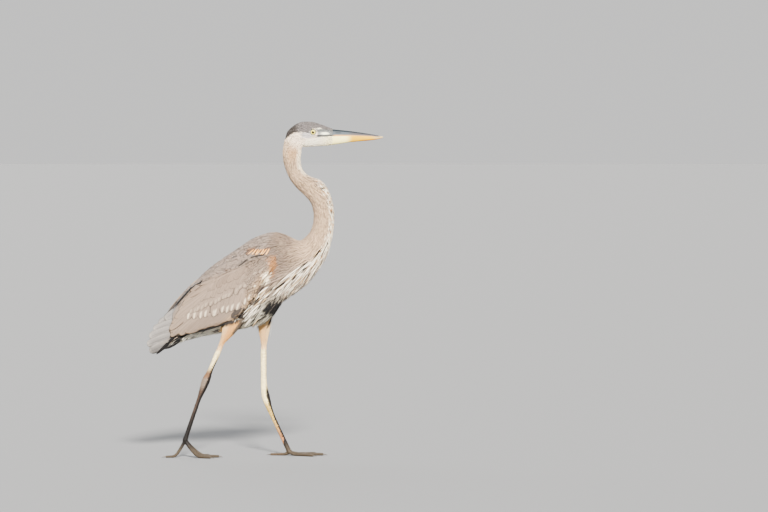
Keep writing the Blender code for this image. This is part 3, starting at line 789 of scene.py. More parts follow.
def feather_material(name, barb_scale, barb_depth, shaft):
    """Barbs slant from the shaft to the edge, as fine bump and fine streaks."""
    material, tree, shader = new_material(name, {
        "Roughness": 0.78, "Specular IOR Level": 0.12,
        "Sheen Weight": 0.05, "Sheen Roughness": 0.5,
    })
    tint = add_node(tree, "Attribute", attribute_name="tint")
    vane = add_node(tree, "UVMap", uv_map="vane")
    place = add_node(tree, "TexCoord")
    parts = add_node(tree, "SeparateXYZ")
    centred = add_node(tree, "Math", {1: 0.5}, operation="SUBTRACT")
    out = add_node(tree, "Math", operation="ABSOLUTE")
    slant = add_node(tree, "Math", {1: -0.55}, operation="MULTIPLY_ADD")
    rows = add_node(tree, "Math", {1: barb_scale}, operation="MULTIPLY")
    clumps = add_node(tree, "TexNoise", {"Scale": 260.0, "Detail": 3.0})
    ripple = add_node(tree, "Math", {1: 9.0}, operation="MULTIPLY_ADD")
    wave = add_node(tree, "Math", operation="SINE")
    light = add_node(tree, "MapRange", {"From Min": -1.0, "To Min": 0.90, "To Max": 1.06})
    mottle = add_node(tree, "MapRange", {"To Min": 0.86, "To Max": 1.14})
    line = add_node(tree, "MapRange", {"From Min": 0.012, "From Max": 0.040, "To Min": shaft},
                    interpolation_type="SMOOTHSTEP")
    both = add_node(tree, "Math", operation="MULTIPLY")
    with_line = add_node(tree, "Math", operation="MULTIPLY")
    tinted = add_node(tree, "VectorMath", operation="SCALE")
    wire(tree, (vane, "UV", parts, "Vector"), (parts, "X", centred, 0),
         (centred, "Value", out, 0), (out, "Value", slant, 0), (parts, "Y", slant, 2),
         (slant, "Value", rows, 0), (place, "Object", clumps, "Vector"),
         (clumps, "Fac", ripple, 0), (rows, "Value", ripple, 2), (ripple, "Value", wave, 0),
         (wave, "Value", light, "Value"), (clumps, "Fac", mottle, "Value"),
         (out, "Value", line, "Value"), (light, "Result", both, 0),
         (mottle, "Result", both, 1), (both, "Value", with_line, 0),
         (line, "Result", with_line, 1), (tint, "Color", tinted, 0),
         (with_line, "Value", tinted, "Scale"), (tinted, "Vector", shader, "Base Color"))
    add_bump(tree, shader, wave, "Value", 0.6, barb_depth)
    return material


down_material = feather_material("small_feather", 90.0, 0.00012, 1.0)


def coat(name, wanted, spacing, length, width, lift, seed, slot, round_over, shape=POINTED,
         stray=0.10, vary=0.07, lie=None, fleck=None, edge=0.0, trim=None):
    """Cover the skin with small feathers where wanted(points) is over 0.

    They stand a spacing apart, rise by lift (root, tip) and bend to the radius
    round_over. stray is how far each may turn off the lie, in radians, and vary how
    much its colour changes. lie(points, heading) may turn the lie, fleck(points,
    random, colour) may recolour whole feathers, edge pales their margins, and
    trim(points) shortens them.
    """
    roots, facing = scatter(wanted, spacing, seed)
    random = np.random.default_rng(seed + 1)
    _, _, heading = along_bird(roots)
    if lie:
        heading = lie(roots, heading)
    turn = random.normal(0.0, stray, len(roots))[:, None]
    heading = unit(heading + np.cross(facing, heading) * turn)
    size = random.normal(1.0, 0.14, len(roots)).clip(0.65, 1.4)
    if trim:
        size = size * trim(roots)
    marks, profile = shape
    rise = random.normal(1.0, 0.18, len(roots)).clip(0.6, 1.4)
    middle, upward, onward = lay(roots, facing, heading, length * size, lift, marks)
    middle += upward * ((rise - 1) * lift[1])[:, None, None] * marks[None, :, None]
    base = markings(roots)
    base = base * random.normal(1.0, vary, (len(roots), 1)).clip(0.7, 1.3)
    base = base * random.normal(1.0, vary * 0.25, (len(roots), 3)).clip(0.9, 1.1)
    if fleck:
        base = fleck(roots, random, base)
    half = width / 2 * size[:, None] * profile
    v = marks[None, :, None, None]
    outward = np.abs(np.linspace(-1, 1, 3))[None, None, :, None]
    toned = base[:, None, None, :] * (1 + edge * outward * v) * (0.90 + 0.12 * v)
    vane_object(name, middle, upward, onward, half, width * 0.05, round_over, toned,
                down_material, slot)


def face(points):
    along, _, _ = along_bird(points)
    x, y, z = points.T
    bare_lore = (x > 0.150) & (x < 0.192) & (np.abs(z - 0.9385) < 0.0055)
    eyelid = (np.hypot(x - EYE.x, z - EYE.z) < EYE_OPENING + 0.0016) & (np.abs(y) > 0.010)
    return (along < STATION["ear"] - 0.005) & (x < 0.197) & ~bare_lore & ~eyelid


def cap_and_cheek(points):
    along, _, _ = along_bird(points)
    return past(along, "ear", -0.030, 0.0) * (along < STATION["nape"] + 0.012)


def away_from_bill(points, heading):
    """On the head the feathers stream back from the bill and round the eye."""
    out = unit((points - np.array((0.215, 0.0, 0.930))) * np.array((1.0, 0.6, 1.0)))
    share = 1 - soft(along_bird(points)[0], STATION["ear"] - 0.03, STATION["nape"])
    return unit(blend(heading, out, share[:, None]))


def upper_neck(points):
    along, _, _ = along_bird(points)
    return past(along, "nape", 0.0, 0.01) * (1 - past(along, "kink", -0.01, 0.01))


def lower_neck(points):
    along, _, _ = along_bird(points)
    return past(along, "kink", -0.01, 0.01) * (1 - past(along, "neck base", 0.005, 0.035))


NECK_SPECK = shade(104, 88, 78)


def neck_streaks(points, random, colour):
    """Rows of dark, white and rusty feathers down the fore-neck, and faint mottles."""
    along, side, _ = along_bird(points)
    front = soft(side, 0.36, 0.74) * past(along, "kink", -0.02, 0.03)
    pick = random.random(len(points))
    kinked = 1 - soft(np.abs(along - STATION["kink"]), 0.02, 0.06)
    mottle = random.random(len(points)) < 0.10 + 0.26 * soft(side, -0.4, 0.8) * kinked
    speck = random.random(len(points)) < 0.12 * kinked * soft(side, 0.0, 0.5)
    dark = pick < 0.22 * front
    white = (pick > 0.30) & (pick < 0.30 + 0.38 * front)
    rusty = (pick > 0.75) & (pick < 0.75 + 0.18 * front)
    colour = np.where(mottle[:, None], colour * 0.60, colour)
    for chosen, tone in ((speck, NECK_SPECK), (dark, SLATE_AND_SHADE * 0.8),
                         (white, CHIN_WHITE * 0.95), (rusty, RUFOUS)):
        colour = np.where(chosen[:, None], tone, colour)
    return colour


coat("coat_face", face, 0.0019, 0.0058, 0.0019, (0.0002, 0.0011), 11, "buff_feather", 0.020,
     lie=away_from_bill)
coat("coat_cap", cap_and_cheek, 0.0024, 0.0105, 0.0026, (0.0003, 0.0023), 13, "slate_feather",
     0.020, stray=0.12, lie=away_from_bill)
coat("coat_upper_neck", upper_neck, 0.0025, 0.0140, 0.0024, (0.0004, 0.0027), 17,
     "buff_feather", 0.022, vary=0.06, fleck=neck_streaks)
coat("coat_lower_neck", lower_neck, 0.0027, 0.0180, 0.0027, (0.0005, 0.0030), 19,
     "buff_feather", 0.028, vary=0.06, fleck=neck_streaks)


# ---- Body feathers -------------------------------------------------------------
# Mantle and scapulars lie close like tiles, softer on the breast sides and belly,
# with long loose plumes under the breast and short dense cinnamon ones on the thighs.

HANGING = np.array((-0.60, 0.0, -0.80))     # steeper than the slope of the body
PLUME_WHITE = shade(248, 238, 220)
PLUME_TAN = shade(226, 196, 156)


def under_the_wrist(points):
    """The breast just below the front edge of the folded wing."""
    x, _, z = points.T
    return (x > -0.060) & (z < line_at(x, WING_FOOT) + 0.012)


def breast_sides(points):
    along, side, _ = along_bird(points)
    beside = under_the_wrist(points) & (side < 0.35)
    return (past(along, "neck base", 0.0, 0.03) * ~on_wing(points) *
            np.maximum(1 - past(along, "back", -0.02, 0.02), beside))


def back_and_scapulars(points):
    along, side, _ = along_bird(points)
    return (past(along, "back", -0.03, 0.01) * (points[:, 0] > -0.232) * (side < 0.35) *
            ~on_wing(points) * ~under_the_wrist(points))


def belly_and_vent(points):
    along, side, heading = along_bird(points)
    tip = points + heading * 0.028
    return (past(along, "back", -0.02, 0.02) * (1 - soft(-points[:, 0], 0.262, 0.272)) *
            (side >= 0.25) * (points[:, 2] > 0.318) *
            ~on_wing(points) * ~on_thigh(points) * ~on_thigh(tip))


def belly_tones(points, random, colour):
    dark = random.random(len(points)) < 0.10
    return np.where(dark[:, None], SLATE_AND_SHADE * 1.6, colour)


def breast_lie(points, heading):
    """Towards the belly the breast feathers hang more steeply than the body slopes."""
    along, side, _ = along_bird(points)
    steep = soft(side, 0.1, 0.8) * soft(along, STATION["neck base"] - 0.01, STATION["shoulder"])
    steep = steep * (points[:, 0] > -0.05)
    return unit(blend(heading, HANGING, steep[:, None]))


def short_by_the_legs(points):
    """Belly feathers end above the thighs."""
    x, y, z = points.T
    by_left = (y > -0.035) & (np.abs(x - 0.010) < 0.040) & (z < 0.430)
    by_right = (y < -0.005) & (np.abs(x + 0.070) < 0.045) & (z < 0.430)
    return np.where(by_left, 0.36, np.where(by_right, 0.55, 1.0))


def breast_plume_area(points):
    """Under the breast and below the wrist, but for the black patches by the legs."""
    x, _, z = points.T
    along, side, _ = along_bird(points)
    by_the_wing = (under_the_wrist(points) & (side > -0.1) & (x < 0.034) &
                   (z < 0.502 + 0.35 * x) & (z < line_at(x, WING_FOOT) - 0.014))
    area = (past(along, "neck base", -0.01, 0.02) * (x > -0.035) * (z > 0.405) *
            ~on_wing(points) * np.maximum(soft(side, 0.30, 0.60), by_the_wing))
    for patch_x, patch_z, radius in (
            (0.036, 0.446, 0.036), (0.054, 0.462, 0.038), (0.004, 0.421, 0.016)):
        area = area * (np.hypot(x - patch_x, z - patch_z) > radius)
    return area


def plume_tones(points, random, colour):
    """White plumes, grey ones, a few tan and some near-black ones between them."""
    pick = random.random(len(points))[:, None]
    colour = np.where(pick < 0.40, PLUME_WHITE, colour)
    colour = np.where(pick > 0.80, SLATE_AND_SHADE * 0.6, colour)
    return np.where((pick > 0.72) & (pick < 0.80), PLUME_TAN, colour)


def thigh_area(points):
    return on_thigh(points) & (points[:, 2] > BARE_BELOW + 0.006)


def down_the_leg(points, heading):
    back = np.where(points[:, 1] > 0, 0.02, -0.42)
    return unit(np.stack((back, 0 * back, 0 * back - 1), axis=1))


coat("coat_breast_sides", breast_sides, 0.0038, 0.0250, 0.0054, (0.0005, 0.0027), 23,
     "grey_feather", 0.050, stray=0.08, vary=0.05, lie=breast_lie)
coat("coat_back", back_and_scapulars, 0.0054, 0.0340, 0.0140, (0.0006, 0.0024), 29,
     "grey_feather", 0.060, ROUNDED, stray=0.06, vary=0.04, edge=0.08)
coat("coat_belly", belly_and_vent, 0.0042, 0.0270, 0.0052, (0.0005, 0.0042), 31,
     "grey_feather", 0.050, stray=0.12, fleck=belly_tones, trim=short_by_the_legs)
coat("coat_breast_plumes", breast_plume_area, 0.0050, 0.0440, 0.0039, (0.0016, 0.0075), 41,
     "grey_feather", 0.050, stray=0.07, vary=0.06, lie=breast_lie, fleck=plume_tones)
coat("coat_thighs", thigh_area, 0.0023, 0.0100, 0.0025, (0.0002, 0.0019), 37,
     "tan_feather", 0.015, vary=0.04, lie=down_the_leg)


# ---- Folded wings --------------------------------------------------------------
# Rows of coverts hang down and a little back, each row over the next, the greatest
# with a pale dash at the tip. Secondaries and tertials close the wing behind them and
# dark primaries show along its lower and upper edges.

COVERT = (np.array((0.0, 0.14, 0.34, 0.54, 0.72, 0.86, 0.95, 1.0)),
          np.array((0.40, 0.72, 0.93, 1.0, 0.98, 0.82, 0.52, 0.14)))
QUILL = (np.array((0.0, 0.10, 0.25, 0.42, 0.60, 0.76, 0.88, 0.96, 1.0)),
         np.array((0.30, 0.60, 0.88, 1.0, 1.0, 0.94, 0.78, 0.46, 0.10)))
VANE_ACROSS = 7
TERTIAL_TIPS = (
    (-0.273, 0.364), (-0.277, 0.390), (-0.260, 0.428), (-0.238, 0.459), (-0.214, 0.485),
)
GREATER_LINE = (        # where the greater coverts start
    (-0.240, 0.450), (-0.200, 0.454), (-0.140, 0.463), (-0.060, 0.485), (-0.030, 0.505),
    (0.010, 0.545),
)
PALE_DASH = shade(238, 224, 200)
COVERT_RIM = shade(172, 158, 144)
FLANK_RIM = shade(104, 96, 84)
RUSTY_CREAM = shade(236, 180, 124)
RUSTY_RIM = shade(128, 80, 50)
RUSTY_DASH = shade(255, 238, 200)

vane_material = feather_material("broad_feather", 260.0, 0.00018, 0.62)


def outer_skin(x, hand, z):
    """The outermost skin at x, z on one side: its place, or None, and its facing."""
    return skin_tree.ray_cast(Vector((x, hand * 0.3, z)), Vector((0.0, -hand, 0.0)))[:2]


def side_spots(x, z):
    """The outermost skin at x, z on both sides: which spots hit, places and facings."""
    hits = []
    for hand in (-1.0, 1.0):
        for index in range(len(x)):
            touch, facing = outer_skin(x[index], hand, z[index])
            if touch is not None:
                hits.append((index, touch, facing))
    return [np.array(column) for column in zip(*hits)]


def vane_paint(base, marks, rim=None, rim_share=0.5, dash=None, dash_share=0.8):
    """Colours over each vane: a rim along its edges and tip, and a dash at its end."""
    u = np.abs(np.linspace(-1, 1, VANE_ACROSS))[None, None, :, None]
    v = marks[None, :, None, None]
    colours = np.broadcast_to(base[:, None, None, :], (len(base), len(marks), VANE_ACROSS, 3))
    if rim is not None:
        mask = np.maximum(soft(u, 0.55, 1.0), soft(v, 0.86, 1.0)) * soft(v, 0.15, 0.5)
        colours = blend(colours, rim, mask * rim_share)
    if dash is not None:
        mask = (1 - soft(u, 0.05, 0.30)) * soft(v, 0.56, 0.72)
        colours = blend(colours, dash, mask * dash_share)
    return colours


def wing_row(name, x, z, heading, length, width, lift, seed, shape=COVERT, base=None,
             vary=0.04, stray=0.05, hold=0.006, stack=0.0, **paint):
    """Lay one feather from each spot of a wing or flank, on both sides of the bird.

    heading is (x, z) of where they point, one for all or one for each. stack lifts
    each feather a little over the one before it.
    """
    random = np.random.default_rng(seed)
    which, roots, facing = side_spots(x, z)
    marks, profile = shape
    back, down = (np.broadcast_to(share, len(x))[which] for share in heading)
    ahead = unit(np.stack((back, np.zeros(len(which)), down), axis=1))
    turn = random.normal(0.0, stray, len(which))[:, None]
    ahead = unit(ahead + np.cross(facing, ahead) * turn)
    size = random.normal(1.0, 0.05, len(which)).clip(0.85, 1.15)
    lengths = np.broadcast_to(length, len(x))[which] * size
    middle, upward, onward = lay(roots, facing, ahead, lengths, lift, marks, hold)
    middle += upward * random.normal(0.0, 0.00005, (len(which), 1, 1))
    middle += upward * stack * which[:, None, None]
    ragged = random.normal(1.0, 0.035, (len(which), len(marks)))
    tone = markings(roots) if base is None else np.tile(base, (len(which), 1))
    tone = tone * random.normal(1.0, vary, (len(which), 1)).clip(0.75, 1.25)
    vane_object(name, middle, upward, onward, width / 2 * profile * ragged, 0.0006, 0.05,
                vane_paint(tone, marks, **paint), vane_material, "grey_feather")


def covert_row(name, share, spacing, length, width, tip_lift, seed, level=None, front=0.028,
               **paint):
    """A row of coverts at a share of the way down the wing, or along a level line."""
    random = np.random.default_rng(seed)
    x = np.arange(front, -0.236, -spacing)
    x = x + random.normal(0, spacing * 0.10, len(x))
    top = line_at(x, WING_TOP)
    foot = line_at(x, WING_FOOT)
    if level:
        z = np.minimum(line_at(x, level), top - 0.006)
        leans = (0.60, 0.50, 0.20, 0.20, 0.45)
    else:
        z = top - share * (top - foot) + random.normal(0, 0.0008, len(x))
        leans = (0.62, 0.58, 0.38, 0.38, 0.55)
    back = (WING_FRONT - x) / (WING_FRONT - WING_REAR)
    lean = np.interp(back, (0.0, 0.15, 0.4, 0.75, 1.0), leans)
    reach = np.minimum(length, (z - foot) * 1.05 + 0.004)
    reach = np.minimum(reach, (x - WING_REAR) * 1.1)
    x, z, lean, reach = (column[reach > 0.012] for column in (x, z, lean, reach))
    wing_row(name, x, z, (-lean, -np.sqrt(1 - lean ** 2)), reach, width,
             (0.0006, tip_lift), seed, rim=COVERT_RIM, **paint)


def wing_edge_area(points):
    x, y, z = points.T
    top = line_at(x, WING_TOP)
    foot = line_at(x, WING_FOOT)
    front = (x > -0.045) | (z < foot + 0.016) & (z > foot + 0.002) & (x > -0.094)
    rim = (z > foot - 0.010) & (z < top + 0.006) & (x < WING_FRONT + 0.004)
    return front & rim & (np.abs(y) > WING_INSIDE)


def wrist_lie(points, heading):
    return np.tile(HANGING, (len(points), 1))


def short_at_the_foot(points):
    return np.interp(points[:, 0], (-0.050, -0.040), (0.6, 1.0))


# secondaries and tertials first: they lie under the coverts
tip_x = -0.092 - np.arange(0.0, 19.0) * 0.0097
tip_z = line_at(tip_x, WING_FOOT) + 0.004
root_x = tip_x + 0.058
root_z = tip_z + 0.056
wing_row("secondaries", root_x, root_z, (tip_x - root_x, tip_z - root_z), 0.081, 0.022,
         (0.0004, 0.0022), 53, QUILL, rim=WING_BUFF * 1.1, rim_share=0.45, stray=0.02,
         hold=0.005, stack=0.00003)
tertial = np.linspace(0.0, 1.0, 9)
tip_x, tip_z = (np.interp(tertial * 4, range(5), column) for column in zip(*TERTIAL_TIPS))
root_x = -0.186 + 0.052 * tertial
root_z = 0.450 + 0.078 * tertial
wing_row("tertials", root_x, root_z, (tip_x - root_x, tip_z - root_z),
         np.hypot(tip_x - root_x, tip_z - root_z), 0.026, (0.0008, 0.0026), 57, QUILL,
         rim=WING_BUFF, rim_share=0.25, stray=0.01, hold=0.005, stack=0.00012)
covert_row("greater_coverts", 0.44, 0.0166, 0.0540, 0.0245, 0.0022, 59, level=GREATER_LINE,
           front=-0.014, rim_share=0.15, dash=PALE_DASH, dash_share=0.9)
covert_row("median_coverts_low", 0.33, 0.0115, 0.0400, 0.0175, 0.0021, 61, rim_share=0.15,
           dash=PALE_DASH, dash_share=0.25)
covert_row("median_coverts_mid", 0.22, 0.0105, 0.0350, 0.0160, 0.0020, 63, rim_share=0.12)
covert_row("median_coverts_top", 0.11, 0.0095, 0.0310, 0.0140, 0.0019, 65, rim_share=0.12)
covert_row("lesser_coverts", 0.02, 0.0085, 0.0260, 0.0125, 0.0018, 67, rim_share=0.10)
covert_row("marginal_coverts", -0.07, 0.0085, 0.0270, 0.0125, 0.0017, 69, rim_share=0.10)
coat("wrist_coverts", wing_edge_area, 0.0040, 0.0150, 0.0058, (0.0006, 0.0028), 71,
     "grey_feather", 0.040, ROUNDED, stray=0.08, vary=0.05, lie=wrist_lie,
     trim=short_at_the_foot)

# a folded primary shows black along the wing's upper rear edge
wing_row("edge_primary", (-0.178,), (0.5125,), (-0.66, -0.75), 0.115, 0.0110,
         (0.0052, 0.0058), 75, QUILL, base=BELLY_BLACK, stray=0.0, hold=0.012)

# dark feathers as painted shade in the gap where the scapulars part from the coverts, and under
# the rusty scapulars' tips
drop = np.array((-0.62, -0.62, -0.62, -0.25, -0.20, -0.15))
wing_row("scapular_shade", (-0.047, -0.055, -0.061, -0.024, -0.012, 0.000),
         (0.5760, 0.5690, 0.5630, 0.5845, 0.5870, 0.5885), (-np.sqrt(1 - drop ** 2), drop),
         0.016, 0.0050, (0.0034, 0.0050), 81, base=SLATE_AND_SHADE, vary=0.10, hold=0.004)

# slate flank feathers that lap over the wing's lower front edge, their dark partly painted
# shade of the gap under the wing
x = np.linspace(-0.046, -0.078, 6)
wing_row("flank_feathers", x, 0.440 + 0.20 * (x + 0.046), (-0.50, -0.86), 0.033, 0.0130,
         (0.0016, 0.0038), 77, base=SLATE_AND_SHADE * 1.35, rim=FLANK_RIM, rim_share=0.4,
         vary=0.10, stray=0.06, hold=0.007)

# scapulars over the wing's upper edge, and the rusty-edged ones above the wrist
x = np.arange(0.020, -0.200, -0.0105)
wing_row("scapulars", x, line_at(x, WING_TOP) + 0.014, (-0.88, -0.48), 0.050, 0.0170,
         (0.0008, 0.0030), 73, base=BACK_GREY, rim=SHOULDER_GREY * 0.8, rim_share=0.2,
         hold=0.007)
x = np.arange(0.014, -0.036, -0.0074)
wing_row("rusty_scapulars", x, 0.6045 + 0.06 * x, (-0.50, -0.86), 0.021, 0.0042,
         (0.0030, 0.0052), 79, base=RUSTY_CREAM, rim=RUSTY_RIM, rim_share=0.55, vary=0.16,
         stray=0.12, dash=RUSTY_DASH, dash_share=0.7, hold=0.007)


# ---- Tail ----------------------------------------------------------------------
# Broad tail feathers closed like a low roof, six down each side and a pair on the ridge,
# and folded primaries: some cross over the rump, dark ones run along the wing's foot and
# past the tail.

BLUNT = (np.array((0.0, 0.10, 0.25, 0.42, 0.60, 0.78, 0.90, 0.96, 1.0)),
         np.array((0.30, 0.60, 0.88, 1.0, 1.0, 0.98, 0.90, 0.70, 0.30)))
TAIL_RANKS = (          # root x, z and tip x, z, each rank over the one below it
    (-0.240, 0.437, -0.290, 0.401), (-0.244, 0.418, -0.308, 0.387),
    (-0.249, 0.399, -0.323, 0.369), (-0.254, 0.380, -0.335, 0.349),
    (-0.258, 0.360, -0.341, 0.326), (-0.260, 0.341, -0.334, 0.306),
)
LOWEST_RANK = len(TAIL_RANKS) - 1
LOWEST_RANK_DEPTH = 0.72    # share of the tail's tone, in the shade of the others
TAIL_MIDDLE = ((-0.342, 0.315), (-0.240, 0.392))
TAIL_RIM = shade(206, 200, 190)
PRIMARY_SLATE = shade(84, 80, 78)
CROSSING = (            # root, tip, facing, width and tone of each crossing primary
    ((-0.150, -0.004, 0.541), (-0.267, -0.006, 0.421), (-0.5, -0.7, 0.8), 0.018, SLATE_AND_SHADE),
    ((-0.160, -0.008, 0.530), (-0.276, -0.010, 0.404), (-0.5, -0.8, 0.8), 0.020, PRIMARY_SLATE),
    ((-0.150, 0.004, 0.545), (-0.278, 0.004, 0.428), (-0.5, -0.2, 0.9), 0.010, WING_BUFF),
    ((-0.180, 0.010, 0.512), (-0.294, 0.004, 0.403), (-0.5, 0.5, 0.8), 0.012, WING_BUFF),
    ((-0.185, -0.010, 0.505), (-0.300, -0.006, 0.388), (-0.5, -0.9, 0.6), 0.018, SLATE_AND_SHADE),
)


def drooping(roots, tips, droop, marks=QUILL[0]):
    """Middle lines from roots to tips, arched up by droop, or sagging where it is below 0."""
    v = marks[None, :, None]
    line = blend(np.array(roots)[:, None, :], np.array(tips)[:, None, :], v)
    return line + np.array((0.0, 0.0, droop)) * (v - v * v)


def long_vanes(name, middle, facing, widths, base, seed, shape=QUILL, **paint):
    """Stiff feathers along given middle lines, each facing one way."""
    random = np.random.default_rng(seed)
    marks, profile = shape
    upward = np.broadcast_to(unit(np.array(facing))[:, None, :], middle.shape)
    onward = unit(np.gradient(middle, axis=1))
    upward = unit(upward - onward * (upward * onward).sum(axis=2, keepdims=True))
    ragged = random.normal(1.0, 0.03, middle.shape[:2])
    half = np.array(widths)[:, None] / 2 * profile * ragged
    tone = base * random.normal(1.0, 0.03, (len(middle), 1))
    vane_object(name, middle, upward, onward, half, 0.0008, 0.04,
                vane_paint(tone, marks, **paint), vane_material, "slate_feather")


def tail_rank(rank, hand):
    """The middle line of a side feather, bent round the tail and clear of its skin."""
    root_x, root_z, tip_x, tip_z = TAIL_RANKS[rank]
    x = root_x + (tip_x - root_x) * BLUNT[0]
    z = root_z + (tip_z - root_z) * BLUNT[0]
    middle = line_at(x, TAIL_MIDDLE)
    steps, outs = [], []
    for step in np.flatnonzero(x < WING_REAR - 0.001):
        for inward in (0.0, 0.2, 0.4, 0.6):
            level = z[step] + (middle[step] - z[step]) * inward
            touch, _ = outer_skin(x[step], hand, level)
            if touch is not None:
                steps.append(step)
                outs.append(abs(touch.y))
                break
    out = np.interp(range(len(x)), steps, outs)
    out = np.maximum(out, out.max() * 0.7) + 0.0010 + 0.0005 * (LOWEST_RANK - rank)
    return np.stack((x, hand * out, z), axis=1)


sides = [(hand, rank) for hand in (-1, 1) for rank in range(len(TAIL_RANKS))]
long_vanes("tail_feathers", np.array([tail_rank(rank, hand) for hand, rank in sides]),
           [(-0.12, hand, 0.45 - 0.16 * rank) for hand, rank in sides], [0.0260] * len(sides),
           np.array([TAIL_SLATE * (LOWEST_RANK_DEPTH if rank == LOWEST_RANK else 1.0)
                     for _, rank in sides]),
           83, BLUNT, rim=TAIL_RIM, rim_share=0.30)
ridge = drooping(((-0.196, -0.006, 0.490), (-0.190, 0.006, 0.492)),
                 ((-0.300, -0.005, 0.397), (-0.292, 0.005, 0.405)), 0.004, BLUNT[0])
long_vanes("middle_tail_feathers", ridge, ((-0.5, -0.5, 0.8), (-0.5, 0.5, 0.8)),
           (0.024, 0.024), TAIL_SLATE, 85, BLUNT, rim=TAIL_RIM, rim_share=0.30)
roots, tips, facing, widths, tones = zip(*CROSSING)
long_vanes("crossing_primaries", drooping(roots, tips, 0.052), facing, widths,
           np.array(tones), 89)

# two folded primaries a side under the wing's foot, and two past the tail's underside
low_x = np.array((-0.080, -0.110, -0.283, -0.266))
_, edge_spots, _ = side_spots(low_x, line_at(low_x, WING_FOOT) + 0.008)
roots, tips, facing = [], [], []
for hand in (-1, 1):
    spots = edge_spots[edge_spots[:, 1] * hand > 0]
    for rank in range(2):
        drop_by = np.array((0.0, -hand * (0.004 + 0.001 * rank), -0.0085 - 0.0012 * rank))
        roots.append(spots[rank] + drop_by)
        tips.append(spots[rank + 2] + drop_by)
        facing.append((0.0, hand, -0.25))
for hand in (-1, 1):
    roots += [(-0.258, hand * 0.034, 0.358), (-0.245, hand * 0.030, 0.338)]
    tips += [(-0.315, hand * 0.022, 0.2990), (-0.290, hand * 0.024, 0.3150)]
    facing += [(-0.1, hand, -0.25)] * 2
long_vanes("folded_primaries", drooping(roots, tips, -0.012), facing,
           (0.0066,) * 4 + (0.009, 0.006) * 2, BELLY_BLACK * 1.5, 91)


# ---- Bill ----------------------------------------------------------------------
# A long dagger of horn in two halves. The upper one is slate along its ridge, with a
# nostril slit in a shallow groove; the lower is cream at its root and yellow beyond.

BILL = (                # x, ridge height, mouth height, keel height, half width
    (0.1930, 0.9505, 0.9300, 0.9052, 0.0136), (0.1980, 0.9500, 0.9300, 0.9060, 0.0131),
    (0.2200, 0.9480, 0.9305, 0.9090, 0.0115), (0.2470, 0.9452, 0.9308, 0.9132, 0.0098),
    (0.2760, 0.9410, 0.9304, 0.9158, 0.0078), (0.3050, 0.9366, 0.9296, 0.9182, 0.0056),
    (0.3250, 0.9330, 0.9284, 0.9212, 0.0036), (0.3380, 0.9300, 0.9276, 0.9246, 0.0018),
    (0.3420, 0.9288, 0.9272, 0.9258, 0.0007),
)
BILL_RINGS = 90
BILL_AROUND = 28
BILL_PARTING = 0.00015  # half the gap between the two halves
BILL_RIDGE = shade(40, 46, 50)
BILL_SLATE = shade(84, 92, 98)
BILL_GREY = shade(84, 80, 82)
BILL_TOMIUM = shade(232, 184, 128)
BILL_TIP = shade(196, 176, 136)
BILL_CREAM = shade(255, 244, 178)
BILL_YELLOW = shade(236, 188, 0)
BILL_KEEL = shade(196, 130, 44)


def ring_mesh(name, points, joined=False):
    """A mesh of rings, points (ring, around, 3), capped or joined end to end."""
    builder = bmesh.new()
    rows = [[builder.verts.new(spot) for spot in ring] for ring in points]
    pairs = list(zip(rows, rows[1:]))
    if joined:
        pairs.append((rows[-1], rows[0]))
    else:
        builder.faces.new(rows[0])
        builder.faces.new(rows[-1])
    for first, second in pairs:
        for part in range(len(first)):
            after = (part + 1) % len(first)
            builder.faces.new((first[part], first[after], second[after], second[part]))
    bmesh.ops.recalc_face_normals(builder, faces=builder.faces)
    return finish_mesh(builder, name)


def half_bill(name, upper):
    """One half of the bill: rings from root to tip, closed by the flat of the mouth."""
    stations = np.array(BILL)
    x = stations[0, 0] + (stations[-1, 0] - stations[0, 0]) * (
        np.linspace(0, 1, BILL_RINGS) ** 0.9)
    ridge, mouth, keel, wide = (np.interp(x, stations[:, 0], column)[:, None]
                                for column in stations.T[1:])
    turn = np.linspace(0, math.pi, BILL_AROUND)
    across = np.cos(turn)
    rise = np.sin(turn)
    outline, parting, flatness, swell = (
        (ridge, BILL_PARTING, 0.85, 1.15) if upper else (keel, -BILL_PARTING, 0.80, 1.05))
    y = wide * np.sign(across) * np.abs(across) ** flatness
    z = mouth + parting + (outline - mouth) * rise ** swell
    height = (np.abs(z - mouth) / np.abs(outline - mouth))[..., None]
    far = x[:, None, None]
    if upper:
        groove = np.exp(-((rise - 0.62) / 0.10) ** 2) * (1 - soft(x, 0.235, 0.285))[:, None]
        slit = np.exp(-((rise - 0.60) / 0.06) ** 2) * (
            soft(x, 0.203, 0.207) * (1 - soft(x, 0.218, 0.223)))[:, None]
        y = y * (1 - 0.05 * groove - 0.16 * slit)
        tone = blend(BILL_SLATE, BILL_GREY, soft(far, 0.235, 0.260))
        tone = blend(tone, BILL_RIDGE,
                     soft(height, 0.58, 0.86) * (1 - 0.6 * soft(far, 0.285, 0.325)))
        tone = blend(tone, BILL_TOMIUM,
                     (1 - soft(height, 0.10, 0.26)) * soft(far, 0.194, 0.206))
        # the nostril slit is painted darker, as painted shade in its opening
        tone = blend(tone, BILL_TIP, soft(far, 0.326, 0.340)) * (1 - 0.7 * slit[..., None])
    else:
        tone = blend(BILL_CREAM, BILL_YELLOW, soft(far, 0.232, 0.256))
        tone = blend(tone, BILL_TIP, soft(far, 0.302, 0.332))
        tone = blend(tone, BILL_KEEL, soft(height, 0.55, 0.95) * soft(far, 0.255, 0.30))
    mesh = ring_mesh(name, np.stack((np.broadcast_to(x[:, None], z.shape), y, z), axis=-1))
    set_tint(mesh, tone)
    return mesh


